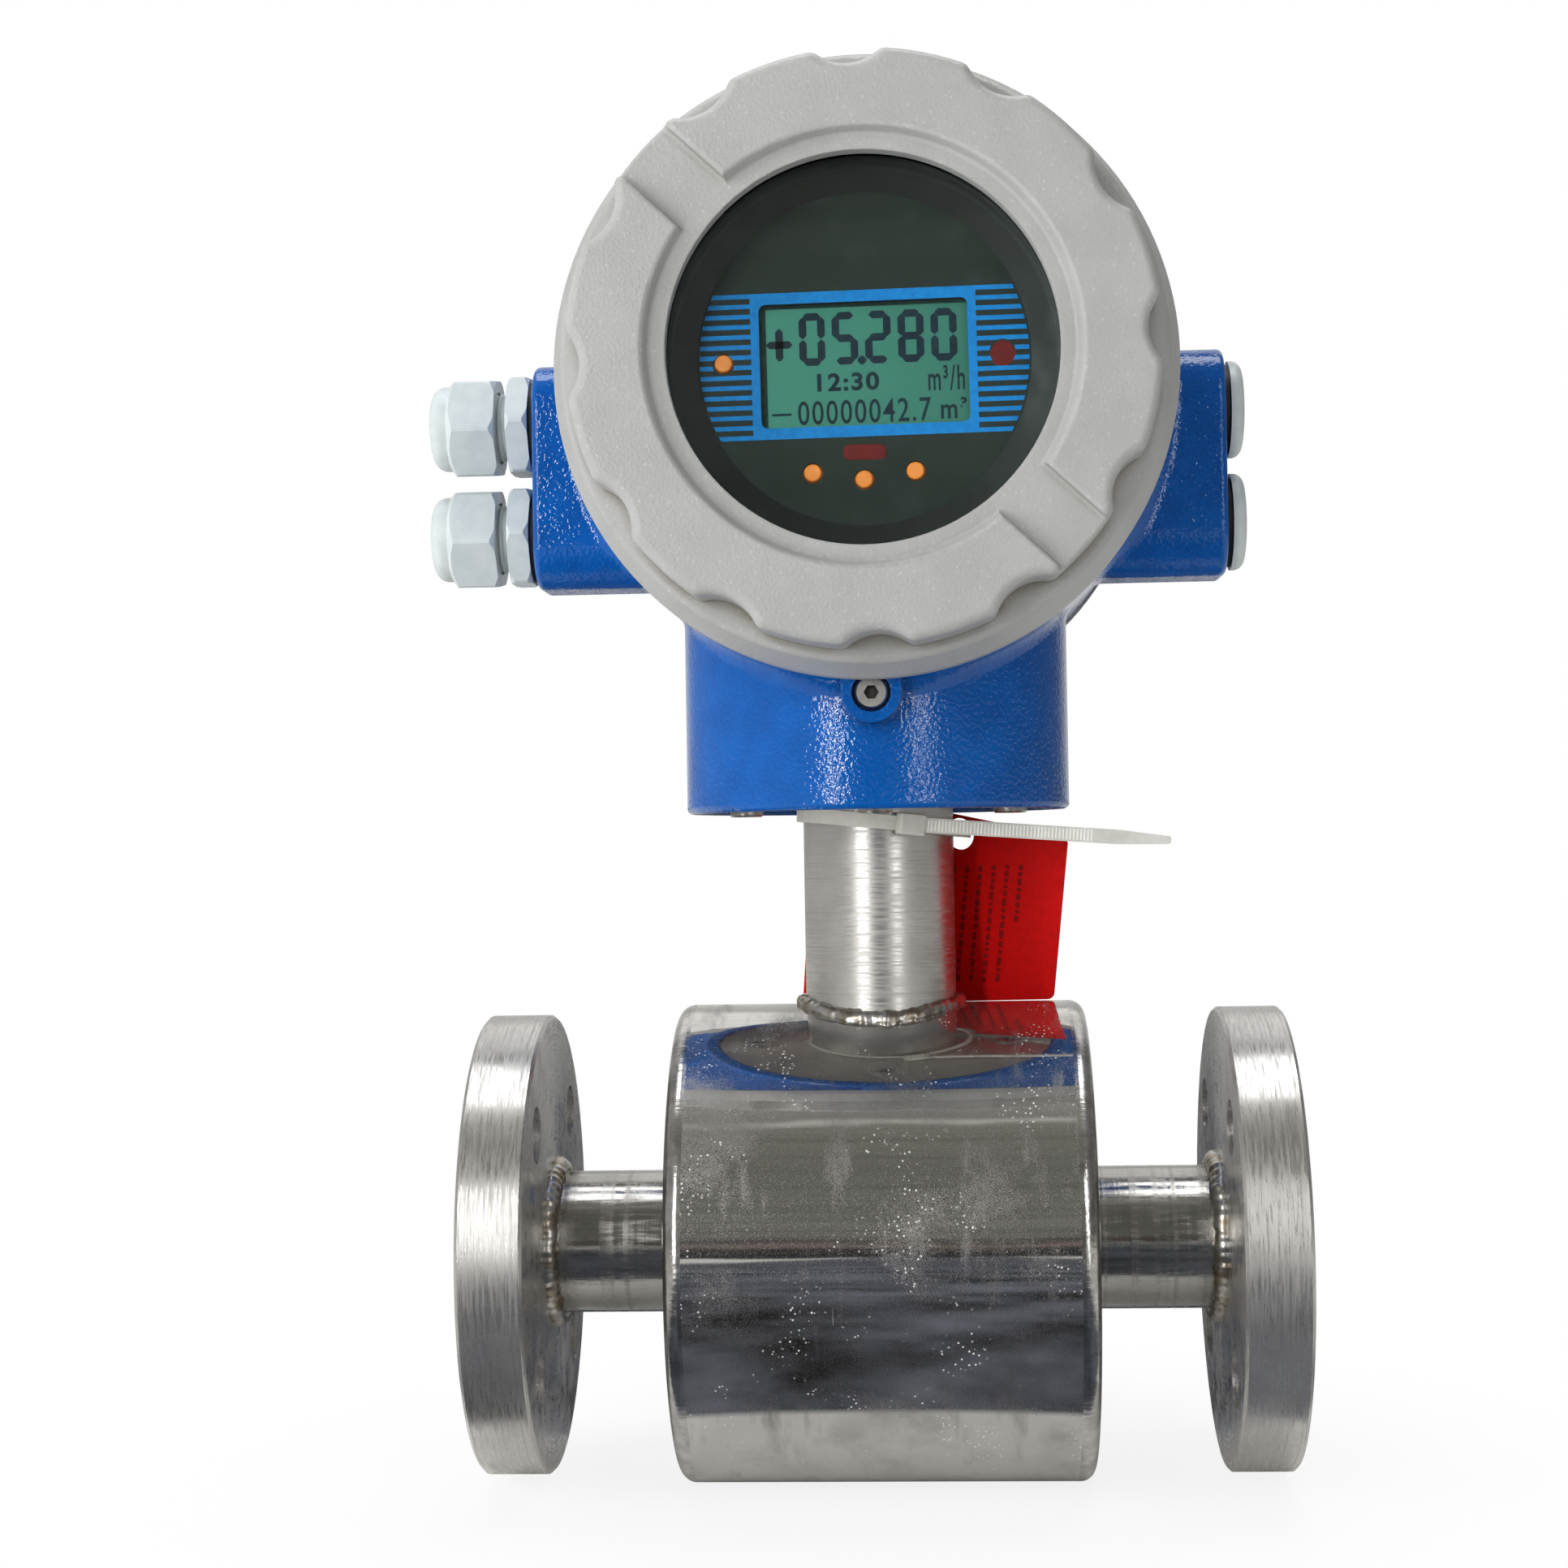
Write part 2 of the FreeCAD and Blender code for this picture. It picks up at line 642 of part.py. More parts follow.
def cover(height, windowed):
    """Screwed cover standing along Z: skirt, shoulder, scalloped grip, step and wrench slots."""
    shoulder = turned(
        [
            (0, 0),
            (SKIRT_R, 0),
            (SKIRT_R, SKIRT_H, SKIRT_ROUND_R),
            (SHOULDER_R, SHOULDER_H, SHOULDER_ROUND_R),
            (CREST_R - BITE_DEPTH, SHOULDER_H + SHOULDER_RISE),
            (0, SHOULDER_H + SHOULDER_RISE),
        ],
        V(0, 0, 0),
        Z,
    )
    grip_start = SHOULDER_H - 2 * OVERLAP
    grip = prism(grip_outline(), height - grip_start, Z * grip_start, Z)
    grip = grip.makeFillet(FACE_EDGE_R, edges_near(grip, lambda p: abs(p.z - height) < 0.01))

    ledge = height - STEP_DEPTH
    hollow = turned([(0, ledge), (STEP_R - STEP_SLOPE, ledge), (STEP_R, height), (0, height)], V(0, 0, 0), Z)
    for angle in (SLOT_ANGLE, SLOT_ANGLE + 180):
        slot = Part.makeBox(CREST_R, SLOT_W, STEP_DEPTH)
        slot.translate(V(WINDOW_R, -SLOT_W / 2, ledge))
        slot.rotate(V(0, 0, 0), Z, angle)
        hollow = hollow.fuse(slot)
    hollow = hollow.removeSplitter()
    hollow = hollow.makeFillet(PAD_EDGE_R, edges_near(hollow, lambda p: abs(p.z - ledge) < 0.01))
    grip = grip.cut(hollow)
    rim_r = CREST_R - BITE_DEPTH - 2 * FACE_EDGE_R

    def on_pad_edge(point):
        return abs(point.z - height) < 0.01 and math.hypot(point.x, point.y) < rim_r

    grip = grip.makeFillet(PAD_EDGE_R, edges_near(grip, on_pad_edge))
    body = shoulder.fuse(grip)

    cuts = [rod(THREAD_BORE_R, THREAD_BORE_H, V(0, 0, 0), Z)]
    groove_low, groove_high = SEAL_GROOVE_H
    cuts.append(rod(SEAL_GROOVE_R, groove_high - groove_low, Z * groove_low, Z))
    roof = ledge - LIP_T
    if windowed:
        cuts.append(rod(WINDOW_R, height, V(0, 0, 0), Z))
        cuts.append(rod(GLASS_POCKET_R, roof, V(0, 0, 0), Z))
        cuts.append(tube(CORE_OUT_R, COLLAR_R, height - ROOF_T - THREAD_BORE_H, Z * THREAD_BORE_H, Z))
    else:
        cuts.append(rod(CORE_OUT_R, roof, V(0, 0, 0), Z))
    return body.cut(cuts)


def covers():
    """Both covers with their seals, and the window held in the front one."""
    parts = {}
    groove_low, groove_high = SEAL_GROOVE_H
    seal = tube(SEAL_GROOVE_R - RUN, THREAD_R + RUN, groove_high - groove_low - 2 * RUN, V(0, 0, 0), Z)
    for side, sign, height in (("front", -1, FRONT_H), ("rear", 1, REAR_H)):
        out = Y * sign
        base = HEAD_CENTRE + out * COVER_Y
        parts[side + "_cover"] = placed(cover(height, side == "front"), base, out)
        parts[side + "_cover_seal"] = placed(seal, base + out * (groove_low + RUN), out)

    front = Y * -1
    lip_back = COVER_Y + FRONT_H - STEP_DEPTH - LIP_T
    glass_front = lip_back - GASKET_T
    glass_back = glass_front - GLASS_T
    ring_back = glass_back - GLASS_RING_T
    gasket_at = HEAD_CENTRE + front * glass_front
    parts["window_gasket"] = tube(GLASS_R, WINDOW_R + GASKET_SETBACK, GASKET_T, gasket_at, front)
    parts["window_glass"] = rod(GLASS_R, GLASS_T, HEAD_CENTRE + front * glass_back, front)
    parts["window_ring"] = tube(GLASS_R, GLASS_RING_R, GLASS_RING_T, HEAD_CENTRE + front * ring_back, front)
    return parts


def display():
    """Bezel, faceplate, LCD, keys and the two boards on their standoffs."""
    parts = {}
    front = Y * -1

    def at(depth, place=(0, 0)):
        return HEAD_CENTRE + V(place[0], -depth, place[1])

    posts = around(STANDOFF_PCD / 2, STANDOFF_COUNT, 45)
    plate_back = PLATE_FRONT - PLATE_T
    board_back = BOARD_FRONT - BOARD_T
    bezel = turned(
        [
            (PLATE_R + SEAT, BOARD_FRONT),
            (BEZEL_R, BOARD_FRONT),
            (BEZEL_R, BEZEL_FRONT),
            (BEZEL_R - BEZEL_RIM, BEZEL_FRONT),
            (PLATE_SHOWN_R, PLATE_FRONT + SEAT),
            (PLATE_R + SEAT, PLATE_FRONT + SEAT),
        ],
        HEAD_CENTRE,
        front,
    )
    core = rod(BEZEL_R - BEZEL_RIM, LUG_T, at(BOARD_FRONT), front)
    screws = []
    for place in posts:
        toe = math.hypot(*place) - BEZEL_R
        lug = rod(LUG_R, LUG_T, at(BOARD_FRONT, place), front)
        web = Part.makeBox(2 * LUG_R, toe + LUG_R, LUG_T)
        web.translate(V(-LUG_R, -toe - LUG_R, 0))
        web.rotate(V(0, 0, 0), Z, math.degrees(math.atan2(place[1], place[0])) - 90)
        web = placed(web, at(BOARD_FRONT, place), front)
        bezel = bezel.fuse([lug, web.cut(core)])
        bezel = bezel.cut(rod(BOARD_SCREW_R + SEAT, LUG_T, at(BOARD_FRONT, place), front))
        head = at(BOARD_FRONT + LUG_T, place)
        screw = turned(
            [
                (0, -BOARD_SCREW_LENGTH),
                (BOARD_SCREW_R, -BOARD_SCREW_LENGTH),
                (BOARD_SCREW_R, 0),
                (BOARD_SCREW_HEAD_R, 0),
                (BOARD_SCREW_HEAD_R, BOARD_SCREW_HEAD_H / 2),
                (BOARD_SCREW_HEAD_R / 2, BOARD_SCREW_HEAD_H),
                (0, BOARD_SCREW_HEAD_H),
            ],
            head,
            front,
        )
        screws.append(screw)
    parts["display_bezel"] = bezel
    parts["board_screws"] = Part.makeCompound(screws)

    plate = rod(PLATE_R, PLATE_T, at(plate_back), front)
    opening = rectangle(LCD_W, LCD_H, LCD_CORNER_R)
    bar = rectangle(RED_BAR_W, RED_BAR_H, RED_BAR_CORNER_R)
    disc_window = rod(RED_DISC_R - SEAT, PLATE_T, at(plate_back, RED_DISC_PLACE), front)
    bar_wire = rectangle(RED_BAR_W - 2 * SEAT, RED_BAR_H - 2 * SEAT, RED_BAR_CORNER_R - SEAT)
    bar_window = prism(bar_wire, PLATE_T, at(plate_back, RED_BAR_PLACE), front)
    window = prism(opening, PLATE_T, at(plate_back, (0, LCD_Z)), front)
    window.rotate(HEAD_CENTRE, Y, LCD_TURN)
    cuts = [
        window,
        prism(bar, PLATE_T, at(plate_back, RED_BAR_PLACE), front),
        rod(RED_DISC_R, PLATE_T, at(plate_back, RED_DISC_PLACE), front),
    ]
    switches = []
    for name, place in KEY_PLACES.items():
        cuts.append(rod(KEY_HOLE_R, PLATE_T, at(plate_back, place), front))
        flange_front = plate_back - KEY_GAP
        parts[name] = turned(
            [
                (0, KEY_END),
                (KEY_STEM_R, KEY_END),
                (KEY_STEM_R, flange_front - KEY_FLANGE_T),
                (KEY_FLANGE_R, flange_front - KEY_FLANGE_T),
                (KEY_FLANGE_R, flange_front),
                (KEY_R, flange_front),
                (KEY_R, PLATE_FRONT + KEY_PROUD - KEY_CHAMFER),
                (KEY_R - KEY_CHAMFER, PLATE_FRONT + KEY_PROUD),
                (0, PLATE_FRONT + KEY_PROUD),
            ],
            HEAD_CENTRE + V(place[0], 0, place[1]),
            front,
        )
        switch_wire = rectangle(SWITCH_W, SWITCH_W, SWITCH_CORNER_R)
        switches.append(prism(switch_wire, SWITCH_H, at(BOARD_FRONT, place), front))
    parts["faceplate"] = plate.cut(cuts)
    parts["infrared_windows"] = Part.makeCompound([disc_window, bar_window])
    parts["key_switches"] = Part.makeCompound(switches)
    lcd_back = plate_back - SEAT - LCD_T
    lcd_wire = rectangle(LCD_W + LCD_MARGIN, LCD_H + LCD_MARGIN, LCD_CORNER_R)
    parts["lcd_module"] = prism(lcd_wire, LCD_T, at(lcd_back, (0, LCD_Z)), front)

    boards = {
        "display_board": (DISPLAY_BOARD_R, BOARD_FRONT),
        "main_board": (MAIN_BOARD_R, MAIN_BOARD_FRONT),
    }
    for name, (radius, depth) in boards.items():
        board = rod(radius, BOARD_T, at(depth - BOARD_T), front)
        for place in posts:
            board = board.cut(rod(BOARD_SCREW_R + SEAT, BOARD_T, at(depth - BOARD_T, place), front))
        parts[name] = board
    main_back = MAIN_BOARD_FRONT - BOARD_T
    spans = {
        "front_standoffs": (MAIN_BOARD_FRONT, board_back),
        "rear_standoffs": (-PARTITION_Y, main_back),
    }
    for name, (low, high) in spans.items():
        pillars = []
        for place in posts:
            pillar = prism(hexagon(STANDOFF_AF), high - low, at(low, place), front)
            pillars.append(pillar.cut(rod(STANDOFF_HOLE_R, high - low, at(low, place), front)))
        parts[name] = Part.makeCompound(pillars)
    return parts


def terminals():
    """Barrier terminal block and its clamp screws on the rear of the partition."""
    back = PARTITION_Y + PARTITION_T
    width = TERMINALS * TERMINAL_PITCH + (TERMINAL_PITCH - TERMINAL_W)
    base = V(-width / 2, back, HEAD_Z + TERMINAL_Z - BLOCK_H / 2)
    block = Part.makeBox(width, BLOCK_WALL_T, BLOCK_H, base)
    screws = []
    for index in range(TERMINALS):
        centre = (index - (TERMINALS - 1) / 2) * TERMINAL_PITCH
        bay = Part.makeBox(TERMINAL_W, BLOCK_WALL_T, BLOCK_H)
        bay.translate(V(centre - TERMINAL_W / 2, back + BLOCK_BASE_T, base.z))
        block = block.cut(bay)
        seat = V(centre, back + BLOCK_BASE_T, HEAD_Z + TERMINAL_Z)
        screws.append(rod(TERMINAL_SCREW_R, TERMINAL_SCREW_R, seat, Y))
    return {"terminal_block": block, "terminal_screws": Part.makeCompound(screws)}


def glands():
    """Two cable glands on the left ear and two blind plugs on the right one."""
    parts = {}
    washers = []
    plug_washers = []
    hex_face_r = GLAND_AF / 2 + HEX_FACE_LAND
    hex_corner_r = GLAND_AF / 2 + HEX_CORNER_LAND
    hex_top = WASHER_T + GLAND_HEX_T
    nut_base = hex_top + GLAND_GAP
    nut_top = nut_base + NUT_HEX_T
    tip = nut_top + NUT_DOME_H
    thread_top = hex_top + GLAND_THREAD_LENGTH
    roof = tip - NUT_ROOF_T
    thread = []
    ridges = int(GLAND_GAP / GLAND_THREAD_PITCH) + 1
    for ridge in range(ridges):
        start = hex_top + ridge * GLAND_THREAD_PITCH
        thread.append((GLAND_THREAD_R - GLAND_THREAD_DEPTH, start))
        thread.append((GLAND_THREAD_R, start + GLAND_THREAD_PITCH / 2))
    for name, offset in (("upper", ENTRY_OFFSET), ("lower", -ENTRY_OFFSET)):
        left = V(-LEFT_EAR_X, 0, EAR_Z + offset)
        out = X * -1
        washers.append(tube(WASHER_R, STUB_R + SEAT, WASHER_T, left, out))
        core = turned(
            [
                (GLAND_BORE_R, -STUB_LENGTH),
                (STUB_R, -STUB_LENGTH),
                (STUB_R, WASHER_T),
                (GLAND_THREAD_R - GLAND_THREAD_DEPTH, WASHER_T),
            ] + thread + [
                (GLAND_THREAD_R, thread_top),
                (GLAND_BORE_R, thread_top),
            ],
            left,
            out,
        )
        collar = prism(hexagon(GLAND_AF, 90), GLAND_HEX_T, left + out * WASHER_T, out)
        collar = collar.common(turned(
            [
                (GLAND_BORE_R, 0),
                (hex_face_r, 0),
                (hex_corner_r, HEX_CHAMFER),
                (hex_corner_r, GLAND_HEX_T - HEX_CHAMFER),
                (hex_face_r, GLAND_HEX_T),
                (GLAND_BORE_R, GLAND_HEX_T),
            ],
            left + out * WASHER_T,
            out,
        ))
        parts[name + "_gland_body"] = core.fuse(collar)

        skin = turned(
            [
                (0, nut_base),
                (hex_face_r, nut_base),
                (hex_corner_r, nut_base + HEX_CHAMFER),
                (hex_corner_r, nut_top - NUT_SHOULDER),
                (NUT_COLLAR_R, nut_top),
                (NUT_COLLAR_R, tip, NUT_DOME_R),
                (0, tip),
            ],
            left,
            out,
        )
        hex_part = prism(hexagon(GLAND_AF, NUT_TURN), NUT_HEX_T, left + out * nut_base, out)
        dome = rod(NUT_COLLAR_R, NUT_DOME_H, left + out * nut_top, out)
        nut = hex_part.fuse(dome).common(skin)
        nut = nut.cut([
            rod(GLAND_THREAD_R + RUN, roof - nut_base, left + out * nut_base, out),
            rod(NUT_MOUTH_R, tip, left, out),
        ])
        parts[name + "_gland_nut"] = nut
        seal_base = hex_top + SEAL_STANDOFF
        parts[name + "_gland_seal"] = tube(
            GLAND_SEAL_R, CABLE_R, roof - RUN - seal_base, left + out * seal_base, out)

        right = V(RIGHT_EAR_X, 0, EAR_Z + offset)
        plug_washers.append(tube(WASHER_R, STUB_R + SEAT, WASHER_T, right, X))
        parts[name + "_plug"] = turned(
            [
                (0, -STUB_LENGTH),
                (STUB_R, -STUB_LENGTH),
                (STUB_R, WASHER_T),
                (PLUG_R, WASHER_T),
                (PLUG_R, WASHER_T + PLUG_T, PLUG_ROUND_R),
                (0, WASHER_T + PLUG_T),
            ],
            right,
            X,
        )
    parts["gland_washers"] = Part.makeCompound(washers)
    parts["plug_washers"] = Part.makeCompound(plug_washers)
    return parts


def tie_and_tag():
    """Cable tie looped round the neck, and the card tag that it carries."""
    lean = math.radians(TIE_LEAN)
    slack = TIE_R - NECK_R - SEAT
    centre = V(slack * math.cos(lean), slack * math.sin(lean), TIE_Z)
    loop = tube(TIE_R + TIE_T, TIE_R, 4 * TIE_W, centre - Z * (2 * TIE_W), Z)
    slab = Part.makeBox(4 * TIE_R, 4 * TIE_R, TIE_W, V(-2 * TIE_R, -2 * TIE_R, -TIE_W / 2))
    slab.rotate(V(0, 0, 0), Y, TIE_SLOPE)
    slab.translate(centre)
    loop = loop.common(slab)

    length, thickness, height = TIE_HEAD
    angle = math.radians(TIE_HEAD_ANGLE)
    out = V(math.cos(angle), math.sin(angle), 0)
    head_at = centre + out * (TIE_R + thickness / 2)
    head_at.z -= math.tan(math.radians(TIE_SLOPE)) * (head_at.x - centre.x)
    head = Part.makeBox(length, thickness, height, V(-length / 2, -thickness / 2, -height / 2))
    head = head.makeFillet(TIE_ROUND_R, head.Edges)
    head.rotate(V(0, 0, 0), Y, TIE_SLOPE)
    head.rotate(V(0, 0, 0), Z, TIE_HEAD_ANGLE + 90)
    head.translate(head_at)

    run = TIE_TAIL_END - head_at
    taper = TIE_TAPER_START * run.Length
    tail_wire = outline([
        (0, -TIE_W / 2),
        (taper, -TIE_W / 2),
        (run.Length, -TIE_TAIL_TIP_W / 2, TIE_ROUND_R),
        (run.Length, TIE_TAIL_TIP_W / 2, TIE_ROUND_R),
        (taper, TIE_W / 2),
        (0, TIE_W / 2),
    ])
    tail = Part.Face(tail_wire).extrude(Z * TIE_T)
    tail.translate(Z * (-TIE_T / 2))
    tail.rotate(V(0, 0, 0), X, 90)
    tail.rotate(V(0, 0, 0), Y, math.degrees(math.atan2(-run.z, run.x)))
    tail.rotate(V(0, 0, 0), Z, math.degrees(math.atan2(run.y, run.x)))
    tail.translate(head_at)
    tie = loop.fuse([head, tail]).removeSplitter()

    card = Part.Face(outline(TAG_OUTLINE)).extrude(Z * TAG_T)
    card = card.cut(rod(TAG_HOLE_R, TAG_T, V(TAG_HOLE[0], TAG_HOLE[1], 0), Z))
    card.rotate(V(0, 0, 0), X, 90)
    card.translate(Y * (TAG_DISTANCE + TAG_T))
    card.rotate(V(0, TAG_DISTANCE, TAG_HOLE[1]), X, TAG_TILT)
    card.rotate(V(0, 0, 0), Z, TAG_BEARING - 90)
    return {"cable_tie": tie, "tag": card}


def main():
    os.makedirs("parts", exist_ok=True)
    groups = (sensor, neck, housing, lock_screws, covers, display, terminals, glands, tie_and_tag)
    for group in groups:
        for name, shape in group().items():
            shape.exportStep("parts/" + name + ".step")
            print(name, len(shape.Solids), shape.isValid(), round(shape.Volume))


main()
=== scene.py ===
import json
import math
import random

import bpy
from mathutils import Matrix, Vector


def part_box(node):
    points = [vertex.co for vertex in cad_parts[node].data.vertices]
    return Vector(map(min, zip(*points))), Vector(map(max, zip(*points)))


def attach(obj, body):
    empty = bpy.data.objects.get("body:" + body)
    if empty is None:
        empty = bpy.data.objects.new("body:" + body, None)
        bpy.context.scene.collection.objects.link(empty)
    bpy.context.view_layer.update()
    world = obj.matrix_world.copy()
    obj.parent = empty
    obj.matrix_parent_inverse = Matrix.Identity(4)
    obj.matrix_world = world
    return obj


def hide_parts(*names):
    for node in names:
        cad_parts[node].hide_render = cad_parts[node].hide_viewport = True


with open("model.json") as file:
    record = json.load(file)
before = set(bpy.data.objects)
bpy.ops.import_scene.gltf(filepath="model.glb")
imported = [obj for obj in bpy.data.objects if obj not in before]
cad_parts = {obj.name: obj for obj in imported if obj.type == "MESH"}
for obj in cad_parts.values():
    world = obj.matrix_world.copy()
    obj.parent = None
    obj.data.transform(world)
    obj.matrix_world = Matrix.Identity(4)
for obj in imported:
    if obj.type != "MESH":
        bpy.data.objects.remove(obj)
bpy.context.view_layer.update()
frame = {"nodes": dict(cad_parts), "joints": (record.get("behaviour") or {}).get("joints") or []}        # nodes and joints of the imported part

bl_info = {
    "name": "Flanged flow meter",
    "version": (1, 0, 0),
    "blender": (4, 5, 0),
    "location": "View3D > Sidebar > Flow meter",
    "description": "Finishes, weld beads, display and stage of a flanged electromagnetic flow meter",
    "category": "Object",
}

MM = 0.001
NODES = frame["nodes"]
BODY = "meter_body"

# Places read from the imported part; HEAD lies on the axis of both covers.
HEAD = Vector(next(j for j in frame["joints"] if j["name"] == "front_cover_turn")["pos_m"])
TUBE_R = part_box("measuring_tube")[1].z
FLANGE_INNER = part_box("outlet_flange")[0].x
DRUM_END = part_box("outlet_end_plate")[1].x
DRUM_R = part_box("drum_shell")[1].z
NECK_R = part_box("neck_tube")[1].x
PLATE_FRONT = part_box("faceplate")[0].y
LCD_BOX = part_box("lcd_module")
KEY_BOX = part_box("left_key")
DISC_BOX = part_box("infrared_windows")
COLLAR_END = {"front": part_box("housing")[0].y, "rear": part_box("housing")[1].y}


def linear(code):
    """Linear colour of an sRGB hex value."""
    channels = [int(code[at:at + 2], 16) / 255 for at in (0, 2, 4)]
    return tuple(c / 12.92 if c <= 0.04045 else ((c + 0.055) / 1.055) ** 2.4 for c in channels) + (1.0,)


def colour(name, description, code):
    """Colour property from an sRGB hex value."""
    return bpy.props.FloatVectorProperty(
        name=name, description=description, default=linear(code),
        subtype="COLOR", size=4, min=0.0, max=1.0)


def length(name, description, millimetres):
    """Length property given in millimetres and kept in metres."""
    return bpy.props.FloatProperty(
        name=name, description=description, default=millimetres * MM,
        unit="LENGTH", subtype="DISTANCE", precision=5)


class MeterColours(bpy.types.PropertyGroup):
    """Colours that a user would change."""
    casting: colour("Casting", "Powder coat of the cast housing", "0456A6")
    casting_deep: colour("Casting, deep", "Same coat where it lies thicker", "034E9A")
    cover: colour("Covers", "Powder coat of the screwed covers", "A8A8A7")
    cover_deep: colour("Covers, deep", "Same coat where it lies thicker", "A3A3A1")
    steel: colour("Stainless steel", "Reflection colour of the steel", "D6D4D0")
    steel_deep: colour("Stainless steel, dull", "Reflection colour of handled steel", "B2AFAA")
    gland: colour("Glands", "Moulded polyamide of glands and plugs", "C6CECE")
    tag: colour("Tag", "Card of the hanging tag", "C60807")
    frame_ink: colour("Display frame", "Printed frame and stripes", "0E7AC4")
    plate: colour("Faceplate", "Film of the display plate", "1D2522")
    lcd: colour("LCD", "Background of the liquid crystal display", "337C6D")
    figures: colour("LCD figures", "Lit segments", "12222E")
    key: colour("Keys", "Translucent key caps", "E4842E")
    infrared: colour("Infrared windows", "Dark red filter plastic", "660F0F")


class MeterSizes(bpy.types.PropertyGroup):
    """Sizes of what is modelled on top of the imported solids."""
    bead: length("Tube weld", "Half width of the weld bead at the flanges", 2.7)
    drum_bead: length("Drum weld", "Half width of the weld bead at the drum ends", 1.3)
    neck_bead: length("Neck weld", "Half width of the weld bead at the neck's foot", 1.7)
    ripple: length("Weld ripple", "Spacing of the ripples along a weld bead", 2.3)
    stripe_pitch: length("Stripe pitch", "Spacing of the printed stripes", 2.34)
    stripe: length("Stripe", "Height of one printed stripe", 1.05)
    frame_width: length("Frame width", "Width of the solid printed frame", 51.9)
    frame_height: length("Frame height", "Height of the printed frame and stripes", 33.8)
    print_radius: length("Print radius", "Reach of the stripes from the middle of the plate", 37.9)
    digit_height: length("Digit height", "Height of the large LCD figures", 12.2)
    digit_width: length("Digit width", "Width of the large LCD figures", 6.0)
    digit_pitch: length("Digit pitch", "Spacing of the large LCD figures", 7.6)
    segment: length("Segment", "Width of one LCD segment", 1.75)
    tie_pitch: length("Tie rib pitch", "Spacing of the ribs on the cable tie", 0.87)
    cover_pitch: length("Cover thread pitch", "Pitch of the cover thread", 2.0)
    gland_pitch: length("Gland thread pitch", "Pitch of the gland nut thread", 1.5)


# Nodes, and the one function that adds them.

def feed(tree, node, inputs):
    """Set or link input sockets by name or number."""
    for key, value in inputs.items():
        if isinstance(value, bpy.types.NodeSocket):
            tree.links.new(value, node.inputs[key])
        else:
            node.inputs[key].default_value = value


def add(tree, kind, inputs=None, **settings):
    """Add a node with its settings and inputs, and return its outputs."""
    node = tree.nodes.new("ShaderNode" + kind)
    for name, value in settings.items():
        setattr(node, name, value)
    feed(tree, node, inputs or {})
    return node.outputs


def per(millimetres):
    """Texture scale for features of a size in millimetres."""
    return 1 / (millimetres * MM)


def surface(name, **sockets):
    """New material with constants on its shader: itself, its tree, shader and object coordinates."""
    material = bpy.data.materials.new(name)
    material.use_nodes = True
    tree = material.node_tree
    shader = tree.nodes["Principled BSDF"]
    feed(tree, shader, {
        key.replace("_", " ").title().replace("Ior", "IOR"): value for key, value in sockets.items()})
    return material, tree, shader, add(tree, "TexCoord")["Object"]


def patches(tree, place, size, low=0.4, high=0.6):
    """Soft patches of a size in millimetres, from 0 to 1."""
    cloud = add(tree, "TexNoise", {"Vector": place, "Scale": per(size), "Detail": 5.0, "Roughness": 0.6})[0]
    return add(tree, "MapRange", {"Value": cloud, "From Min": low, "From Max": high})[0]


def stretched(tree, place, sizes):
    """Streaks: noise with its own size in millimetres along X, Y and Z."""
    spot = add(tree, "Mapping", {"Vector": place, "Scale": [per(size) for size in sizes]})[0]
    return add(tree, "TexNoise", {"Vector": spot, "Scale": 1.0, "Detail": 3.0, "Roughness": 0.6})[0]


def rings(tree, place, axis, pitch):
    """Tool marks of a lathe: noise that changes only along an axis and away from it."""
    across = add(tree, "VectorMath", {0: place, 1: [1 - a for a in axis]}, operation="MULTIPLY")[0]
    radius = add(tree, "VectorMath", {0: across}, operation="LENGTH")["Value"]
    along = add(tree, "VectorMath", {0: place, 1: axis}, operation="DOT_PRODUCT")["Value"]
    spot = add(tree, "CombineXYZ", {"X": along, "Y": radius})[0]
    return add(tree, "TexNoise", {"Vector": spot, "Scale": per(pitch), "Detail": 3.0, "Roughness": 0.7})[0]


# Finishes.

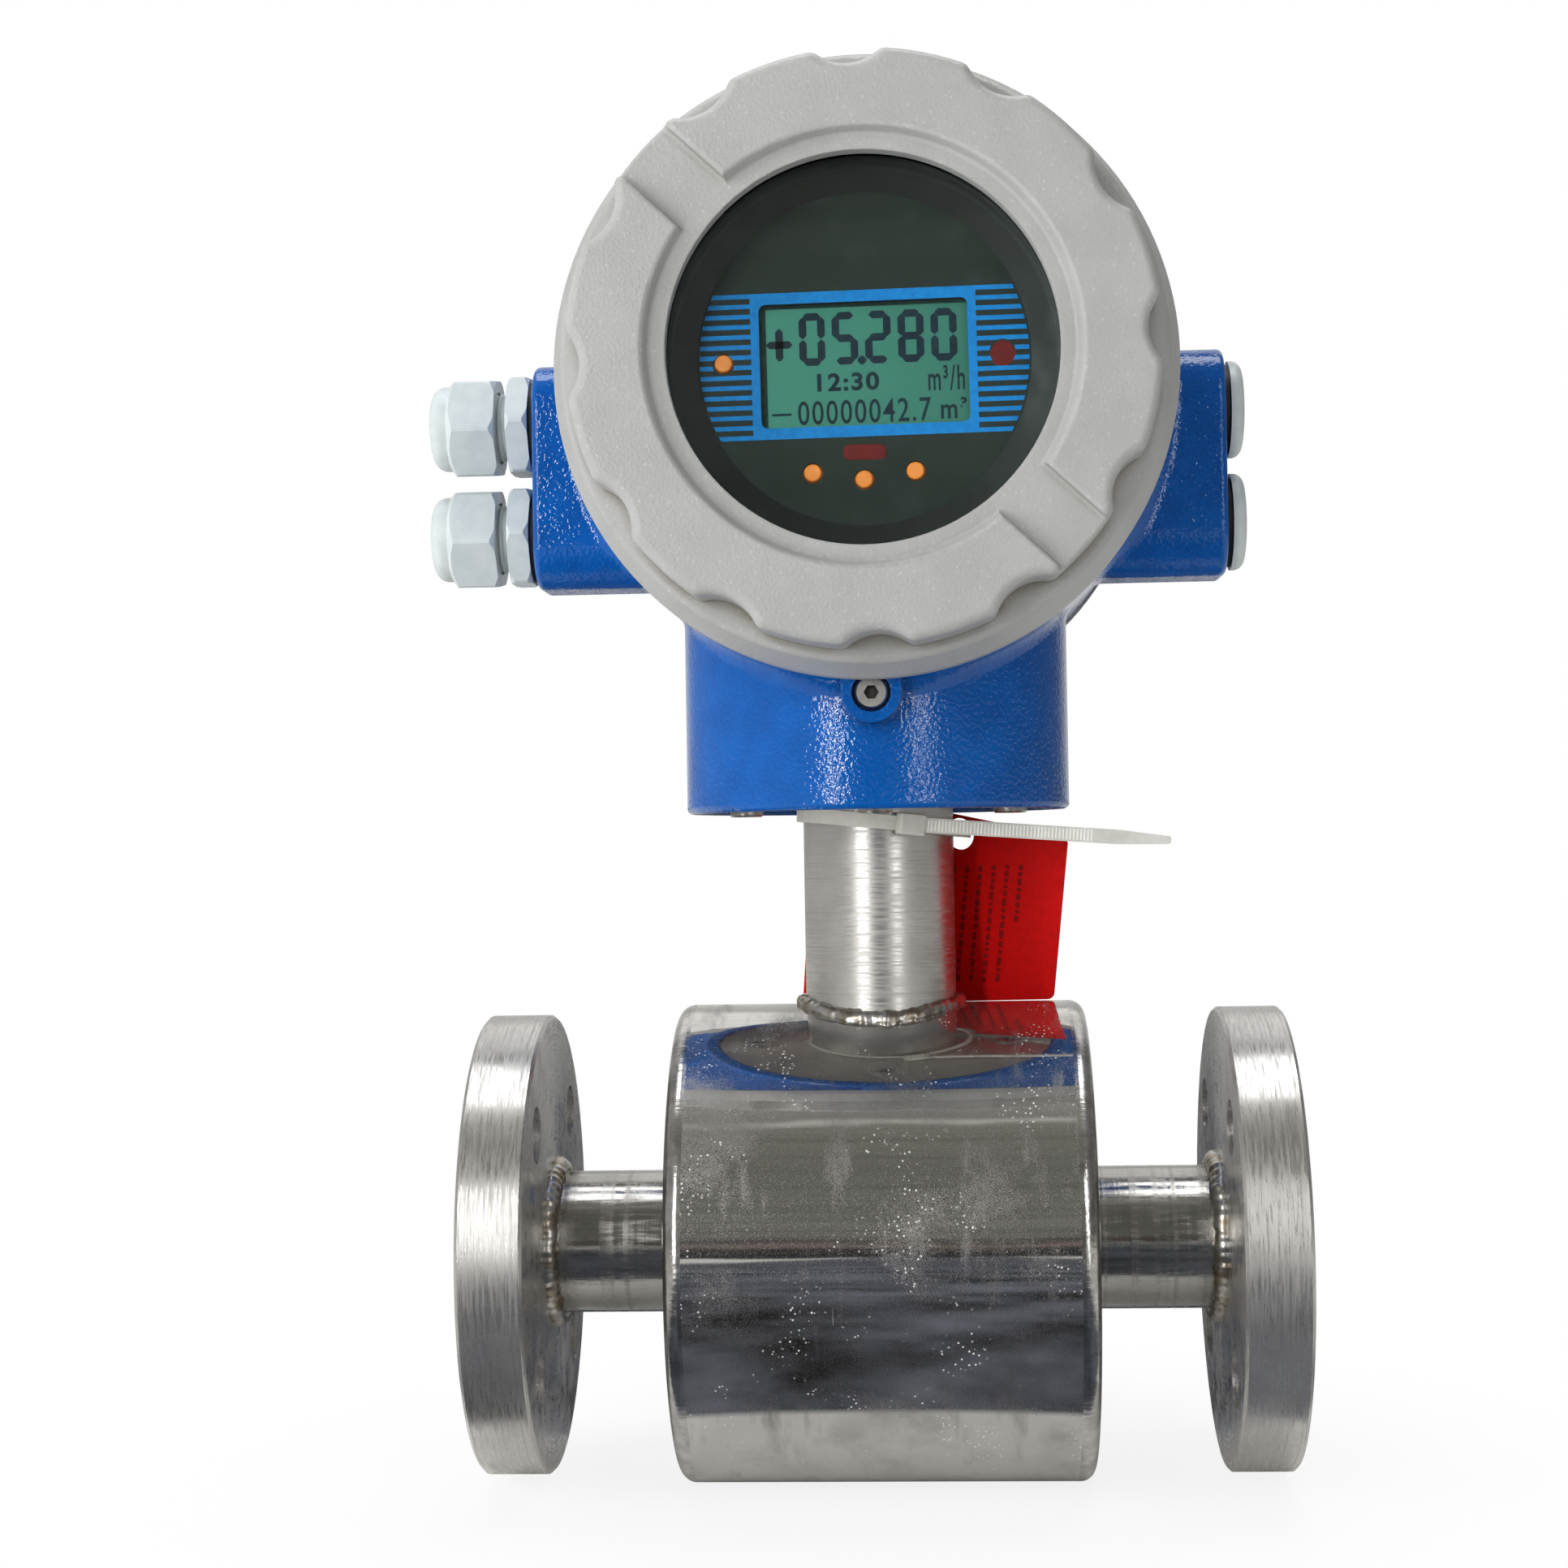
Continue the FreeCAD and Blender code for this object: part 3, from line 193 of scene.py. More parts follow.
def powder_coat(name, light, deep, grime_and_shade, peel, depth, roughness, sparkle_share):
    """Polyester powder coat, sprayed and baked: a bumpy skin that breaks up its gloss into sparks,
    with white dots painted as highlights, and grime and painted shade in its corners, most in the low ones."""
    material, tree, shader, place = surface(name, roughness=roughness)
    swell = add(tree, "TexNoise", {"Vector": place, "Scale": per(peel), "Detail": 1.5})[0]
    rounded = add(tree, "Bevel", {"Radius": 0.7 * MM}, samples=4)[0]
    normal = add(tree, "Bump", {"Height": swell, "Distance": depth * MM, "Normal": rounded})[0]
    coat = add(tree, "Mix", {0: patches(tree, place, 14), 6: light, 7: deep}, data_type="RGBA")[2]
    # Painted highlights: white dots mixed into the colour as the sparkles of a lit skin.
    grit = add(tree, "TexVoronoi", {"Vector": place, "Scale": per(2.2)})["Distance"]
    grain = add(tree, "MapRange", {"Value": grit, "From Min": 0.2, "From Max": 0.1, "To Max": sparkle_share})[0]
    sparkled = add(tree, "Mix", {0: grain, 6: coat, 7: linear("FFFFFF")}, data_type="RGBA")[2]
    # Painted shade and grime: the colour darkens in corners, most in the low ones.
    open_sky = add(tree, "AmbientOcclusion", {"Distance": 6 * MM}, samples=6, only_local=True)["AO"]
    corner = add(tree, "MapRange", {"Value": open_sky, "From Min": 0.82, "From Max": 0.5})[0]
    height = add(tree, "SeparateXYZ", {0: place})["Z"]
    low = add(tree, "MapRange", {
        "Value": height, "From Min": HEAD.z - 20 * MM, "From Max": HEAD.z - 50 * MM})[0]
    wiped = add(tree, "Math", {0: low, 1: patches(tree, place, 5)}, operation="MULTIPLY")[0]
    share = add(tree, "MapRange", {"Value": wiped, "To Min": 0.75})[0]
    soil_and_shade = add(tree, "Math", {0: corner, 1: share}, operation="MULTIPLY")[0]
    skin = add(tree, "Mix", {0: soil_and_shade, 6: sparkled, 7: grime_and_shade}, data_type="RGBA")[2]
    feed(tree, shader, {"Base Color": skin, "Normal": normal})
    return material


def stainless(name, light, deep, axis, marks, streaks, roughness, depth, dust, spread=0.0):
    """Turned or brushed stainless steel: rings left by the tool, which spread each reflection across
    them, with cross scratches, dull handled patches and a film of dust."""
    material, tree, shader, place = surface(
        name, metallic=1 - dust, anisotropic=spread, anisotropic_rotation=0.25)
    ring = rings(tree, place, axis, marks)
    scratch = stretched(tree, place, streaks)
    height = add(tree, "Math", {0: ring, 1: scratch}, operation="ADD")[0]
    normal = add(tree, "Bump", {"Height": height, "Distance": depth * MM})[0]
    dull = patches(tree, place, 13, 0.35, 1.0)
    worn = add(tree, "MapRange", {"Value": height, "From Min": 0.9, "From Max": 1.18,
                                  "To Min": roughness[0], "To Max": roughness[1]})[0]
    lined = add(tree, "MapRange", {"Value": ring, "From Min": 0.5, "From Max": 0.75})[0]
    soft = add(tree, "Math", {0: dull, 1: lined}, operation="MAXIMUM")[0]
    shade = add(tree, "Mix", {0: soft, 6: light, 7: deep}, data_type="RGBA")[2]
    round_axis = add(tree, "Tangent", direction_type="RADIAL", axis="XYZ"[axis.index(1)])[0]
    feed(tree, shader, {"Base Color": shade, "Roughness": worn, "Normal": normal, "Tangent": round_axis})
    return material


def polished_steel(name, colours):
    """Rolled sheet polished to a mirror: hairlines too fine to see blur a share of each reflection,
    most on the dusty top, and wiped haze, white dust and a few long scratches lie over slight waves."""
    material, tree, shader, place = surface(name)
    haze = patches(tree, place, 30, 0.5, 0.72)
    wiped = stretched(tree, place, (7, 34, 34))
    smear = add(tree, "MapRange", {"Value": wiped, "From Min": 0.54, "From Max": 0.74})[0]
    cloudy = add(tree, "Math", {0: haze, 1: smear}, operation="MAXIMUM")[0]
    height = add(tree, "SeparateXYZ", {0: place})["Z"]
    top = add(tree, "MapRange", {
        "Value": height, "From Min": 0.4 * DRUM_R, "From Max": 0.55 * DRUM_R, "To Max": 0.08})[0]
    scuffed = add(tree, "Math", {0: cloudy, 1: 0.55, 2: 0.1}, operation="MULTIPLY_ADD")[0]
    worn = add(tree, "Math", {0: scuffed, 1: top}, operation="MAXIMUM")[0]
    # Hairlines: the finest grain that a pixel still averages, rough where the noise passes the worn share.
    grain = add(tree, "TexNoise", {"Vector": place, "Scale": per(0.12), "Detail": 0.0})[0]
    chance = add(tree, "Math", {0: worn, 1: 0.6, 2: grain}, operation="MULTIPLY_ADD")[0]
    hairline = add(tree, "MapRange", {
        "Value": chance, "From Min": 0.75, "From Max": 0.85, "To Min": 0.05, "To Max": 0.5})[0]
    grit = add(tree, "TexVoronoi", {"Vector": place, "Scale": per(1.3)})["Distance"]
    dots = add(tree, "MapRange", {"Value": grit, "From Min": 0.24, "From Max": 0.16})[0]
    strewn = add(tree, "Math", {0: dots, 1: patches(tree, place, 16, 0.52, 0.62)}, operation="MULTIPLY")[0]
    lines = stretched(tree, place, (0.35, 18, 18))
    long_line = add(tree, "MapRange", {"Value": lines, "From Min": 0.74, "From Max": 0.8})[0]
    white = add(tree, "Math", {0: strewn, 1: long_line}, operation="MAXIMUM")[0]
    wave = add(tree, "TexNoise", {"Vector": place, "Scale": per(26), "Detail": 1.0})[0]
    bent = add(tree, "Bump", {"Height": wave, "Distance": 0.12 * MM})[0]
    scratch = stretched(tree, place, (0.5, 14, 14))
    clean = add(tree, "Mix", {0: cloudy, 6: colours.steel, 7: colours.steel_deep}, data_type="RGBA")[2]
    feed(tree, shader, {
        "Base Color": add(tree, "Mix", {0: white, 6: clean, 7: linear("EDEDEA")}, data_type="RGBA")[2],
        "Metallic": add(tree, "MapRange", {"Value": white, "To Min": 0.98, "To Max": 0.2})[0],
        "Roughness": hairline,
        "Normal": add(tree, "Bump", {"Height": scratch, "Distance": 0.002 * MM, "Normal": bent})[0],
    })
    return material


def ground_steel(name, colours):
    """Weld seam ground flush by hand: short bright strokes across the rounded edge."""
    material, tree, shader, place = surface(name, metallic=1.0)
    stroke = stretched(tree, place, (9, 0.9, 0.9))
    lump = add(tree, "TexNoise", {"Vector": place, "Scale": per(7), "Detail": 3.0})[0]
    uneven = add(tree, "Bump", {"Height": lump, "Distance": 0.22 * MM})[0]
    dull = patches(tree, place, 6)
    shade = add(tree, "Mix", {0: dull, 6: colours.steel, 7: colours.steel_deep}, data_type="RGBA")[2]
    feed(tree, shader, {
        "Base Color": shade,
        "Roughness": add(tree, "MapRange", {"Value": stroke, "To Min": 0.12, "To Max": 0.3})[0],
        "Normal": add(tree, "Bump", {"Height": stroke, "Distance": 0.06 * MM, "Normal": uneven})[0],
    })
    return material


def weld_metal(name, colours):
    """Frozen weld pool: shiny, lumpy, with a faint straw tint from the heat."""
    material, tree, shader, place = surface(name, metallic=1.0)
    straw = patches(tree, place, 4)
    skin = add(tree, "TexNoise", {"Vector": place, "Scale": per(0.9), "Detail": 4.0})[0]
    shade = add(tree, "Mix", {0: straw, 6: colours.steel, 7: linear("A99C88")}, data_type="RGBA")[2]
    feed(tree, shader, {
        "Base Color": shade,
        "Roughness": add(tree, "MapRange", {"Value": skin, "To Min": 0.2, "To Max": 0.42})[0],
        "Normal": add(tree, "Bump", {"Height": skin, "Distance": 0.05 * MM})[0],
    })
    return material


def moulded(name, light, deep, roughness, grain=0.5, depth=0.01, **sockets):
    """Injection moulded plastic or rubber: even colour, faint flow patches and a fine mould grain."""
    material, tree, shader, place = surface(name, **sockets)
    skin = add(tree, "TexNoise", {"Vector": place, "Scale": per(grain), "Detail": 2.0})[0]
    flow = patches(tree, place, 6)
    feed(tree, shader, {
        "Base Color": add(tree, "Mix", {0: flow, 6: light, 7: deep}, data_type="RGBA")[2],
        "Roughness": add(tree, "Math", {0: flow, 1: 0.08, 2: roughness}, operation="MULTIPLY_ADD")[0],
        "Normal": add(tree, "Bump", {"Height": skin, "Distance": depth * MM})[0],
    })
    return material


def window_pane(name):
    """Toughened float glass with a quiet coating: clear, faint green, and no shadow of its own."""
    tint = linear("F4FAF7")
    material, tree, shader, _ = surface(
        name, base_color=tint, roughness=0.0, transmission_weight=1.0, ior=1.45, specular_ior_level=0.05)
    clear = add(tree, "BsdfTransparent", {"Color": tint})[0]
    shade = add(tree, "LightPath")["Is Shadow Ray"]
    both = add(tree, "MixShader", {0: shade, 1: shader.outputs[0], 2: clear})[0]
    tree.links.new(both, tree.nodes["Material Output"].inputs["Surface"])
    return material


def dusty_film(name, film):
    """Matt screen-printed film: near black, with a haze of dust wiped across it."""
    material, tree, shader, place = surface(name, specular_ior_level=0.15)
    dust = patches(tree, place, 9, 0.55, 0.9)
    feed(tree, shader, {
        "Base Color": add(tree, "Mix", {0: dust, 6: film, 7: linear("2C3431")}, data_type="RGBA")[2],
        "Roughness": add(tree, "MapRange", {"Value": dust, "To Min": 0.5, "To Max": 0.65})[0],
    })
    return material


def liquid_crystal(name, green):
    """Reflective LCD glass: flat green with painted shade towards its right, softly lit from within."""
    material, tree, shader, place = surface(name, roughness=0.3, emission_strength=0.12)
    # Painted shade: the green darkens towards the right side of the glass.
    across = add(tree, "SeparateXYZ", {0: place})["X"]
    right = add(tree, "MapRange", {"Value": across, "From Min": -24 * MM, "From Max": 24 * MM})[0]
    shade = add(tree, "Mix", {0: right, 6: green, 7: linear("2A6659")}, data_type="RGBA")[2]
    feed(tree, shader, {"Base Color": shade, "Emission Color": shade})
    return material


def ink(name, light, deep):
    """Screen ink or printed card: flat colour with the faint mottle of its ground."""
    material, tree, shader, place = surface(name, specular_ior_level=0.1)
    mottle = patches(tree, place, 1.6)
    feed(tree, shader, {
        "Base Color": add(tree, "Mix", {0: mottle, 6: light, 7: deep}, data_type="RGBA")[2],
        "Roughness": add(tree, "MapRange", {"Value": mottle, "To Min": 0.42, "To Max": 0.55})[0],
    })
    return material


def wound_copper(name):
    """Enamelled wire in layers: round ridges about the coil's axis, drawn thicker than the wire to show."""
    material, tree, shader, place = surface(name, metallic=1.0, roughness=0.3)
    along = add(tree, "SeparateXYZ", {0: place})["Z"]
    turns = add(tree, "Math", {0: along, 1: 2 * math.pi * per(1.2)}, operation="MULTIPLY")[0]
    ridge = add(tree, "Math", {0: turns}, operation="SINE")[0]
    layer = patches(tree, place, 5)
    shade = add(tree, "Mix", {0: layer, 6: linear("C07A45"), 7: linear("9C5A30")}, data_type="RGBA")[2]
    feed(tree, shader, {
        "Base Color": shade,
        "Normal": add(tree, "Bump", {"Height": ridge, "Distance": 0.2 * MM})[0],
    })
    return material


def metal(name, light, deep, roughness):
    """Plain machined metal: one colour with dull patches, a fine grain and painted shade down in its
    sockets.
    """
    material, tree, shader, place = surface(name, metallic=1.0)
    dull = patches(tree, place, 3)
    clean = add(tree, "Mix", {0: dull, 6: light, 7: deep}, data_type="RGBA")[2]
    # Painted shade: the colour darkens down in sockets and crevices.
    open_sky = add(tree, "AmbientOcclusion", {"Distance": 3 * MM}, samples=6, only_local=True)["AO"]
    socket_shade = add(tree, "MapRange", {"Value": open_sky, "From Min": 0.75, "From Max": 0.35})[0]
    grain = add(tree, "TexNoise", {"Vector": place, "Scale": per(0.4), "Detail": 2.0})[0]
    feed(tree, shader, {
        "Base Color": add(tree, "Mix", {0: socket_shade, 6: clean, 7: linear("2E2C2A")}, data_type="RGBA")[2],
        "Roughness": add(tree, "Math", {0: dull, 1: 0.15, 2: roughness}, operation="MULTIPLY_ADD")[0],
        "Normal": add(tree, "Bump", {"Height": grain, "Distance": 0.008 * MM})[0],
    })
    return material


def paint(material, *names):
    """Give CAD nodes their finish."""
    for name in names:
        for slot in NODES[name].material_slots:
            slot.material = material


# Modelling steps shared by the pieces.

def focus(piece):
    """Make a piece the only selected object."""
    bpy.ops.object.select_all(action="DESELECT")
    piece.select_set(True)
    bpy.context.view_layer.objects.active = piece
    return piece


def fixed(piece):
    """Put a piece's place, turn and scale into its mesh."""
    focus(piece)
    bpy.ops.object.transform_apply(location=True, rotation=True, scale=True)
    return piece


def block(place, size):
    """Box at a place, with its size in its mesh."""
    bpy.ops.object.select_all(action="DESELECT")
    bpy.ops.mesh.primitive_cube_add(size=1, location=place, scale=size)
    return fixed(bpy.context.object)


def pick(piece, test):
    """Enter edit mode with only the vertices selected that pass a test."""
    focus(piece)
    bpy.ops.object.mode_set(mode="EDIT")
    bpy.ops.mesh.select_mode(type="VERT")
    bpy.ops.mesh.select_all(action="DESELECT")
    bpy.ops.object.mode_set(mode="OBJECT")
    for vertex in piece.data.vertices:
        vertex.select = test(vertex)
    bpy.ops.object.mode_set(mode="EDIT")


def round_corners(piece, axis, radius, steps):
    """Bevel the edges of a box that run along an axis."""
    focus(piece)
    bpy.ops.object.mode_set(mode="EDIT")
    bpy.ops.mesh.select_mode(type="EDGE")
    bpy.ops.mesh.select_all(action="DESELECT")
    bpy.ops.object.mode_set(mode="OBJECT")
    points = piece.data.vertices
    for edge in piece.data.edges:
        run = (points[edge.vertices[0]].co - points[edge.vertices[1]].co).normalized()
        edge.select = abs(run.dot(Vector(axis))) > 0.99
    bpy.ops.object.mode_set(mode="EDIT")
    bpy.ops.mesh.bevel(offset=radius, segments=steps, affect="EDGES")
    bpy.ops.object.mode_set(mode="OBJECT")
    return piece


def modify(piece, kind, **settings):
    """Add a modifier with its settings and apply it."""
    focus(piece)
    modifier = piece.modifiers.new(kind.title(), kind)
    for name, value in settings.items():
        setattr(modifier, name, value)
    bpy.ops.object.modifier_apply(modifier=modifier.name)
    return piece


def cut(piece, tool, operation="DIFFERENCE"):
    """Cut a piece with a tool body, which is then thrown away."""
    modify(piece, "BOOLEAN", operation=operation, object=tool, solver="EXACT")
    bpy.data.objects.remove(tool)
    return piece


def merge(pieces):
    """Join pieces into the first one."""
    focus(pieces[0])
    for piece in pieces:
        piece.select_set(True)
    bpy.ops.object.join()
    return bpy.context.object


def settle(piece, name, material, replaced=(), body=BODY):
    """Name a finished piece, give it its finish and hang it on its body."""
    fixed(piece)
    piece.name = name
    piece.data.name = name
    piece.data.materials.clear()
    piece.data.materials.append(material)
    bpy.ops.object.shade_smooth_by_angle(angle=math.radians(40))
    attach(piece, body)
    if replaced:
        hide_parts(*replaced)
    return piece


def aimed(start, end):
    """Turn that brings one direction onto another."""
    return Vector(start).rotation_difference(Vector(end)).to_matrix().to_4x4()


def turn_about_head(piece, degrees):
    """Turn a flat piece of the display about the head's axis."""
    spin = Matrix.Rotation(math.radians(degrees), 4, "Y")
    piece.matrix_world = Matrix.Translation(HEAD) @ spin @ Matrix.Translation(-HEAD) @ piece.matrix_world
    return fixed(piece)


# The faceplate sits a little turned in the head; positive angles here lower its right side.
DISPLAY_TURN = -0.7
# Middle of the glass, its width and height inside the printed frame, and the thickness of ink.
LCD_MIDDLE = Vector((HEAD.x, HEAD.y, (LCD_BOX[0].z + LCD_BOX[1].z) / 2))
LCD_OPENING = (48.0 * MM, 28.6 * MM)
INK_T = 0.06 * MM


def weld_ring(place, axis_turn, radius, section, ripple, lumpy):
    """Weld bead as a ring: a torus with raised ripples and an uneven skin."""
    ripples = round(2 * math.pi * radius / ripple)
    steps, sides = 4, 14    # along each ripple, and round the bead
    bpy.ops.object.select_all(action="DESELECT")
    bpy.ops.mesh.primitive_torus_add(
        location=place, rotation=axis_turn, major_radius=radius, minor_radius=section,
        major_segments=ripples * steps, minor_segments=sides)
    ring = fixed(bpy.context.object)
    pick(ring, lambda vertex: vertex.index // sides % steps < 2)
    bpy.ops.transform.shrink_fatten(value=0.07 * section)
    bpy.ops.object.mode_set(mode="OBJECT")
    lumps = bpy.data.textures.new("weld_lumps", "CLOUDS")
    lumps.noise_scale = 2.4 * section
    return modify(ring, "DISPLACE", texture=lumps, texture_coords="LOCAL",
                  strength=lumpy * section, mid_level=0.5)


def thread(name, place, axis, radius, ridge, pitch, turns, material):
    """Helical thread ridge on a plain cylinder, from a small profile turned by a screw."""
    bpy.ops.object.select_all(action="DESELECT")
    bpy.ops.mesh.primitive_circle_add(
        vertices=4, radius=ridge, location=(radius, 0, 0), rotation=(math.pi / 2, 0, 0))
    coil = fixed(bpy.context.object)
    modify(coil, "SCREW", axis="Z", angle=2 * math.pi, screw_offset=pitch, iterations=turns,
           steps=96, render_steps=96, use_merge_vertices=False)
    bpy.ops.object.mode_set(mode="EDIT")
    bpy.ops.mesh.select_all(action="SELECT")
    bpy.ops.mesh.fill_holes(sides=4)
    bpy.ops.mesh.normals_make_consistent(inside=False)
    bpy.ops.object.mode_set(mode="OBJECT")
    coil.matrix_world = Matrix.Translation(place) @ aimed((0, 0, 1), axis)
    return settle(coil, name, material)


class METER_OT_castings(bpy.types.Operator):
    """Coat the housing and covers, and cut their screw threads"""
    bl_idname = "flowmeter.castings"
    bl_label = "Castings"

    # Thread on each collar: its radius, ridge, distance from the collar's end and number of turns.
    THREAD_R = 66.6 * MM
    RIDGE = 0.28 * MM
    FROM_END = 10.5 * MM
    TURNS = 4

    def execute(self, context):
        colours = context.scene.meter_colours
        sizes = context.scene.meter_sizes
        # Each coat's fourth colour is the painted shade and grime of its corners.
        blue = powder_coat(
            "blue_powder_coat", colours.casting, colours.casting_deep, linear("0B3F7E"),
            peel=1.0, depth=0.17, roughness=0.05, sparkle_share=0.0)
        grey = powder_coat(
            "grey_powder_coat", colours.cover, colours.cover_deep, linear("6A6552"),
            peel=0.8, depth=0.11, roughness=0.4, sparkle_share=0.1)
        paint(blue, "housing")
        paint(grey, "front_cover", "rear_cover")
        for side, sign in (("front", -1), ("rear", 1)):
            start = HEAD + Vector((0, COLLAR_END[side] - sign * self.FROM_END, 0))
            thread(side + "_collar_thread", start, (0, sign, 0), self.THREAD_R, self.RIDGE,
                   sizes.cover_pitch, self.TURNS, blue)
        return {"FINISHED"}


class METER_OT_pipe_steel(bpy.types.Operator):
    """Finish the flanges, tube, neck and its plate"""
    bl_idname = "flowmeter.pipe_steel"
    bl_label = "Pipe steel"

    def execute(self, context):
        colours = context.scene.meter_colours
        along, up = (1, 0, 0), (0, 0, 1)
        steel, dull = colours.steel, colours.steel_deep
        turned = stainless(
            "turned_stainless", steel, dull, along, marks=0.8, streaks=(0.5, 7, 7),
            roughness=(0.24, 0.56), depth=0.02, dust=0.1, spread=0.65)
        drawn = stainless(
            "drawn_stainless", linear("B8B6B1"), linear("9A9792"), along, marks=2.5, streaks=(9, 0.8, 0.8),
            roughness=(0.13, 0.32), depth=0.02, dust=0.02)
        brushed = stainless(
            "brushed_stainless", steel, dull, up, marks=0.7, streaks=(9, 9, 0.8),
            roughness=(0.28, 0.46), depth=0.022, dust=0.04)
        paint(turned, "inlet_flange", "outlet_flange")
        paint(drawn, "measuring_tube")
        paint(brushed, "neck_tube", "neck_plate")
        return {"FINISHED"}


class METER_OT_drum(bpy.types.Operator):
    """Polish the coil drum and grind its edges"""
    bl_idname = "flowmeter.drum"
    bl_label = "Coil drum"

    def execute(self, context):
        colours = context.scene.meter_colours
        paint(polished_steel("polished_stainless", colours), "drum_shell")
        paint(ground_steel("ground_stainless", colours), "inlet_end_plate", "outlet_end_plate")
        return {"FINISHED"}


class METER_OT_weld_beads(bpy.types.Operator):
    """Model the weld beads of the tube and of the neck's foot"""
    bl_idname = "flowmeter.weld_beads"
    bl_label = "Weld beads"

    # Shares of a bead's half width: how far it stands out from the tube, the neck, the drum and the faces.
    OFF_TUBE = 0.3
    OFF_NECK = 0.35
    OFF_DRUM = 0.3
    OFF_FACE = 0.2

    def execute(self, context):
        colours = context.scene.meter_colours
        sizes = context.scene.meter_sizes
        metal_skin = weld_metal("weld_bead", colours)
        across = (0, math.pi / 2, 0)
        rings_made = []
        for sign in (-1, 1):
            for face, out, section in ((FLANGE_INNER, -1, sizes.bead), (DRUM_END, 1, sizes.drum_bead)):
                place = (sign * (face + out * self.OFF_FACE * section), 0, 0)
                radius = TUBE_R + self.OFF_TUBE * section
                rings_made.append(weld_ring(place, across, radius, section, sizes.ripple, lumpy=0.5))
        settle(merge(rings_made), "tube_weld_beads", metal_skin, ["tube_welds"])

        section = sizes.neck_bead
        radius = NECK_R + self.OFF_NECK * section
        foot = weld_ring((0, 0, DRUM_R), (0, 0, 0), radius, section, sizes.ripple, lumpy=1.2)
        for vertex in foot.data.vertices:
            drop = DRUM_R - math.sqrt(DRUM_R ** 2 - vertex.co.y ** 2)
            vertex.co.z -= drop - self.OFF_DRUM * section
        settle(foot, "neck_weld_bead", metal_skin, ["neck_weld"])
        return {"FINISHED"}


def seven_segments(text, left, middle, sizes):
    """Large LCD figures: chamfered bars at the lit places of each digit."""
    lit = {"0": "abcdef", "2": "abged", "5": "afgcd", "8": "abcdefg"}
    half_w = (sizes.digit_width - sizes.segment) / 2
    half_h = (sizes.digit_height - sizes.segment) / 2
    gap = 0.3 * MM
    flat = (2 * half_w - gap, sizes.segment)
    upright = (sizes.segment, half_h - gap)
    places = {
        "a": (0, half_h, flat), "g": (0, 0, flat), "d": (0, -half_h, flat),
        "f": (-half_w, half_h / 2, upright), "b": (half_w, half_h / 2, upright),
        "e": (-half_w, -half_h / 2, upright), "c": (half_w, -half_h / 2, upright),
    }
    bars = []
    at = left
    for letter in text:
        if letter == "+":
            drop = -0.2 * half_h
            bars.append(((at, drop), (sizes.digit_width, sizes.segment)))
            bars.append(((at, drop), (sizes.segment, 1.25 * sizes.digit_width)))
        elif letter == ".":
            dot_at = at - sizes.digit_pitch / 2
            bars.append(((dot_at, -half_h), (1.15 * sizes.segment, 1.15 * sizes.segment)))
            continue
        else:
            for name in lit[letter]:
                x, z, size = places[name]
                bars.append(((at + x, z), size))
        at += sizes.digit_pitch
    made = []
    for (x, z), (width, height) in bars:
        bar = block(middle + Vector((x, 0, z)), (width, INK_T, height))
        made.append(round_corners(bar, (0, 1, 0), 0.42 * sizes.segment, 1))
    return made


def lettering(body, left, size, weight):
    """One row of small LCD figures, stretched to a size from its lower left corner."""
    bpy.ops.object.select_all(action="DESELECT")
    bpy.ops.object.text_add()
    row = bpy.context.object
    row.data.body = body
    row.data.size = size[1]
    row.data.space_character = 1.15
    row.data.offset = weight
    row.data.extrude = INK_T / 2
    bpy.ops.object.convert(target="MESH")
    row = bpy.context.object
    corner = Vector(row.bound_box[0])
    stretch = Matrix.Diagonal((size[0] / row.dimensions.x, size[1] / row.dimensions.y, 1, 1))
    upright = Matrix.Rotation(math.pi / 2, 4, "X")
    to_corner = Matrix.Translation((-corner.x, -corner.y, 0))
    row.matrix_world = Matrix.Translation(left) @ upright @ stretch @ to_corner
    return fixed(row)


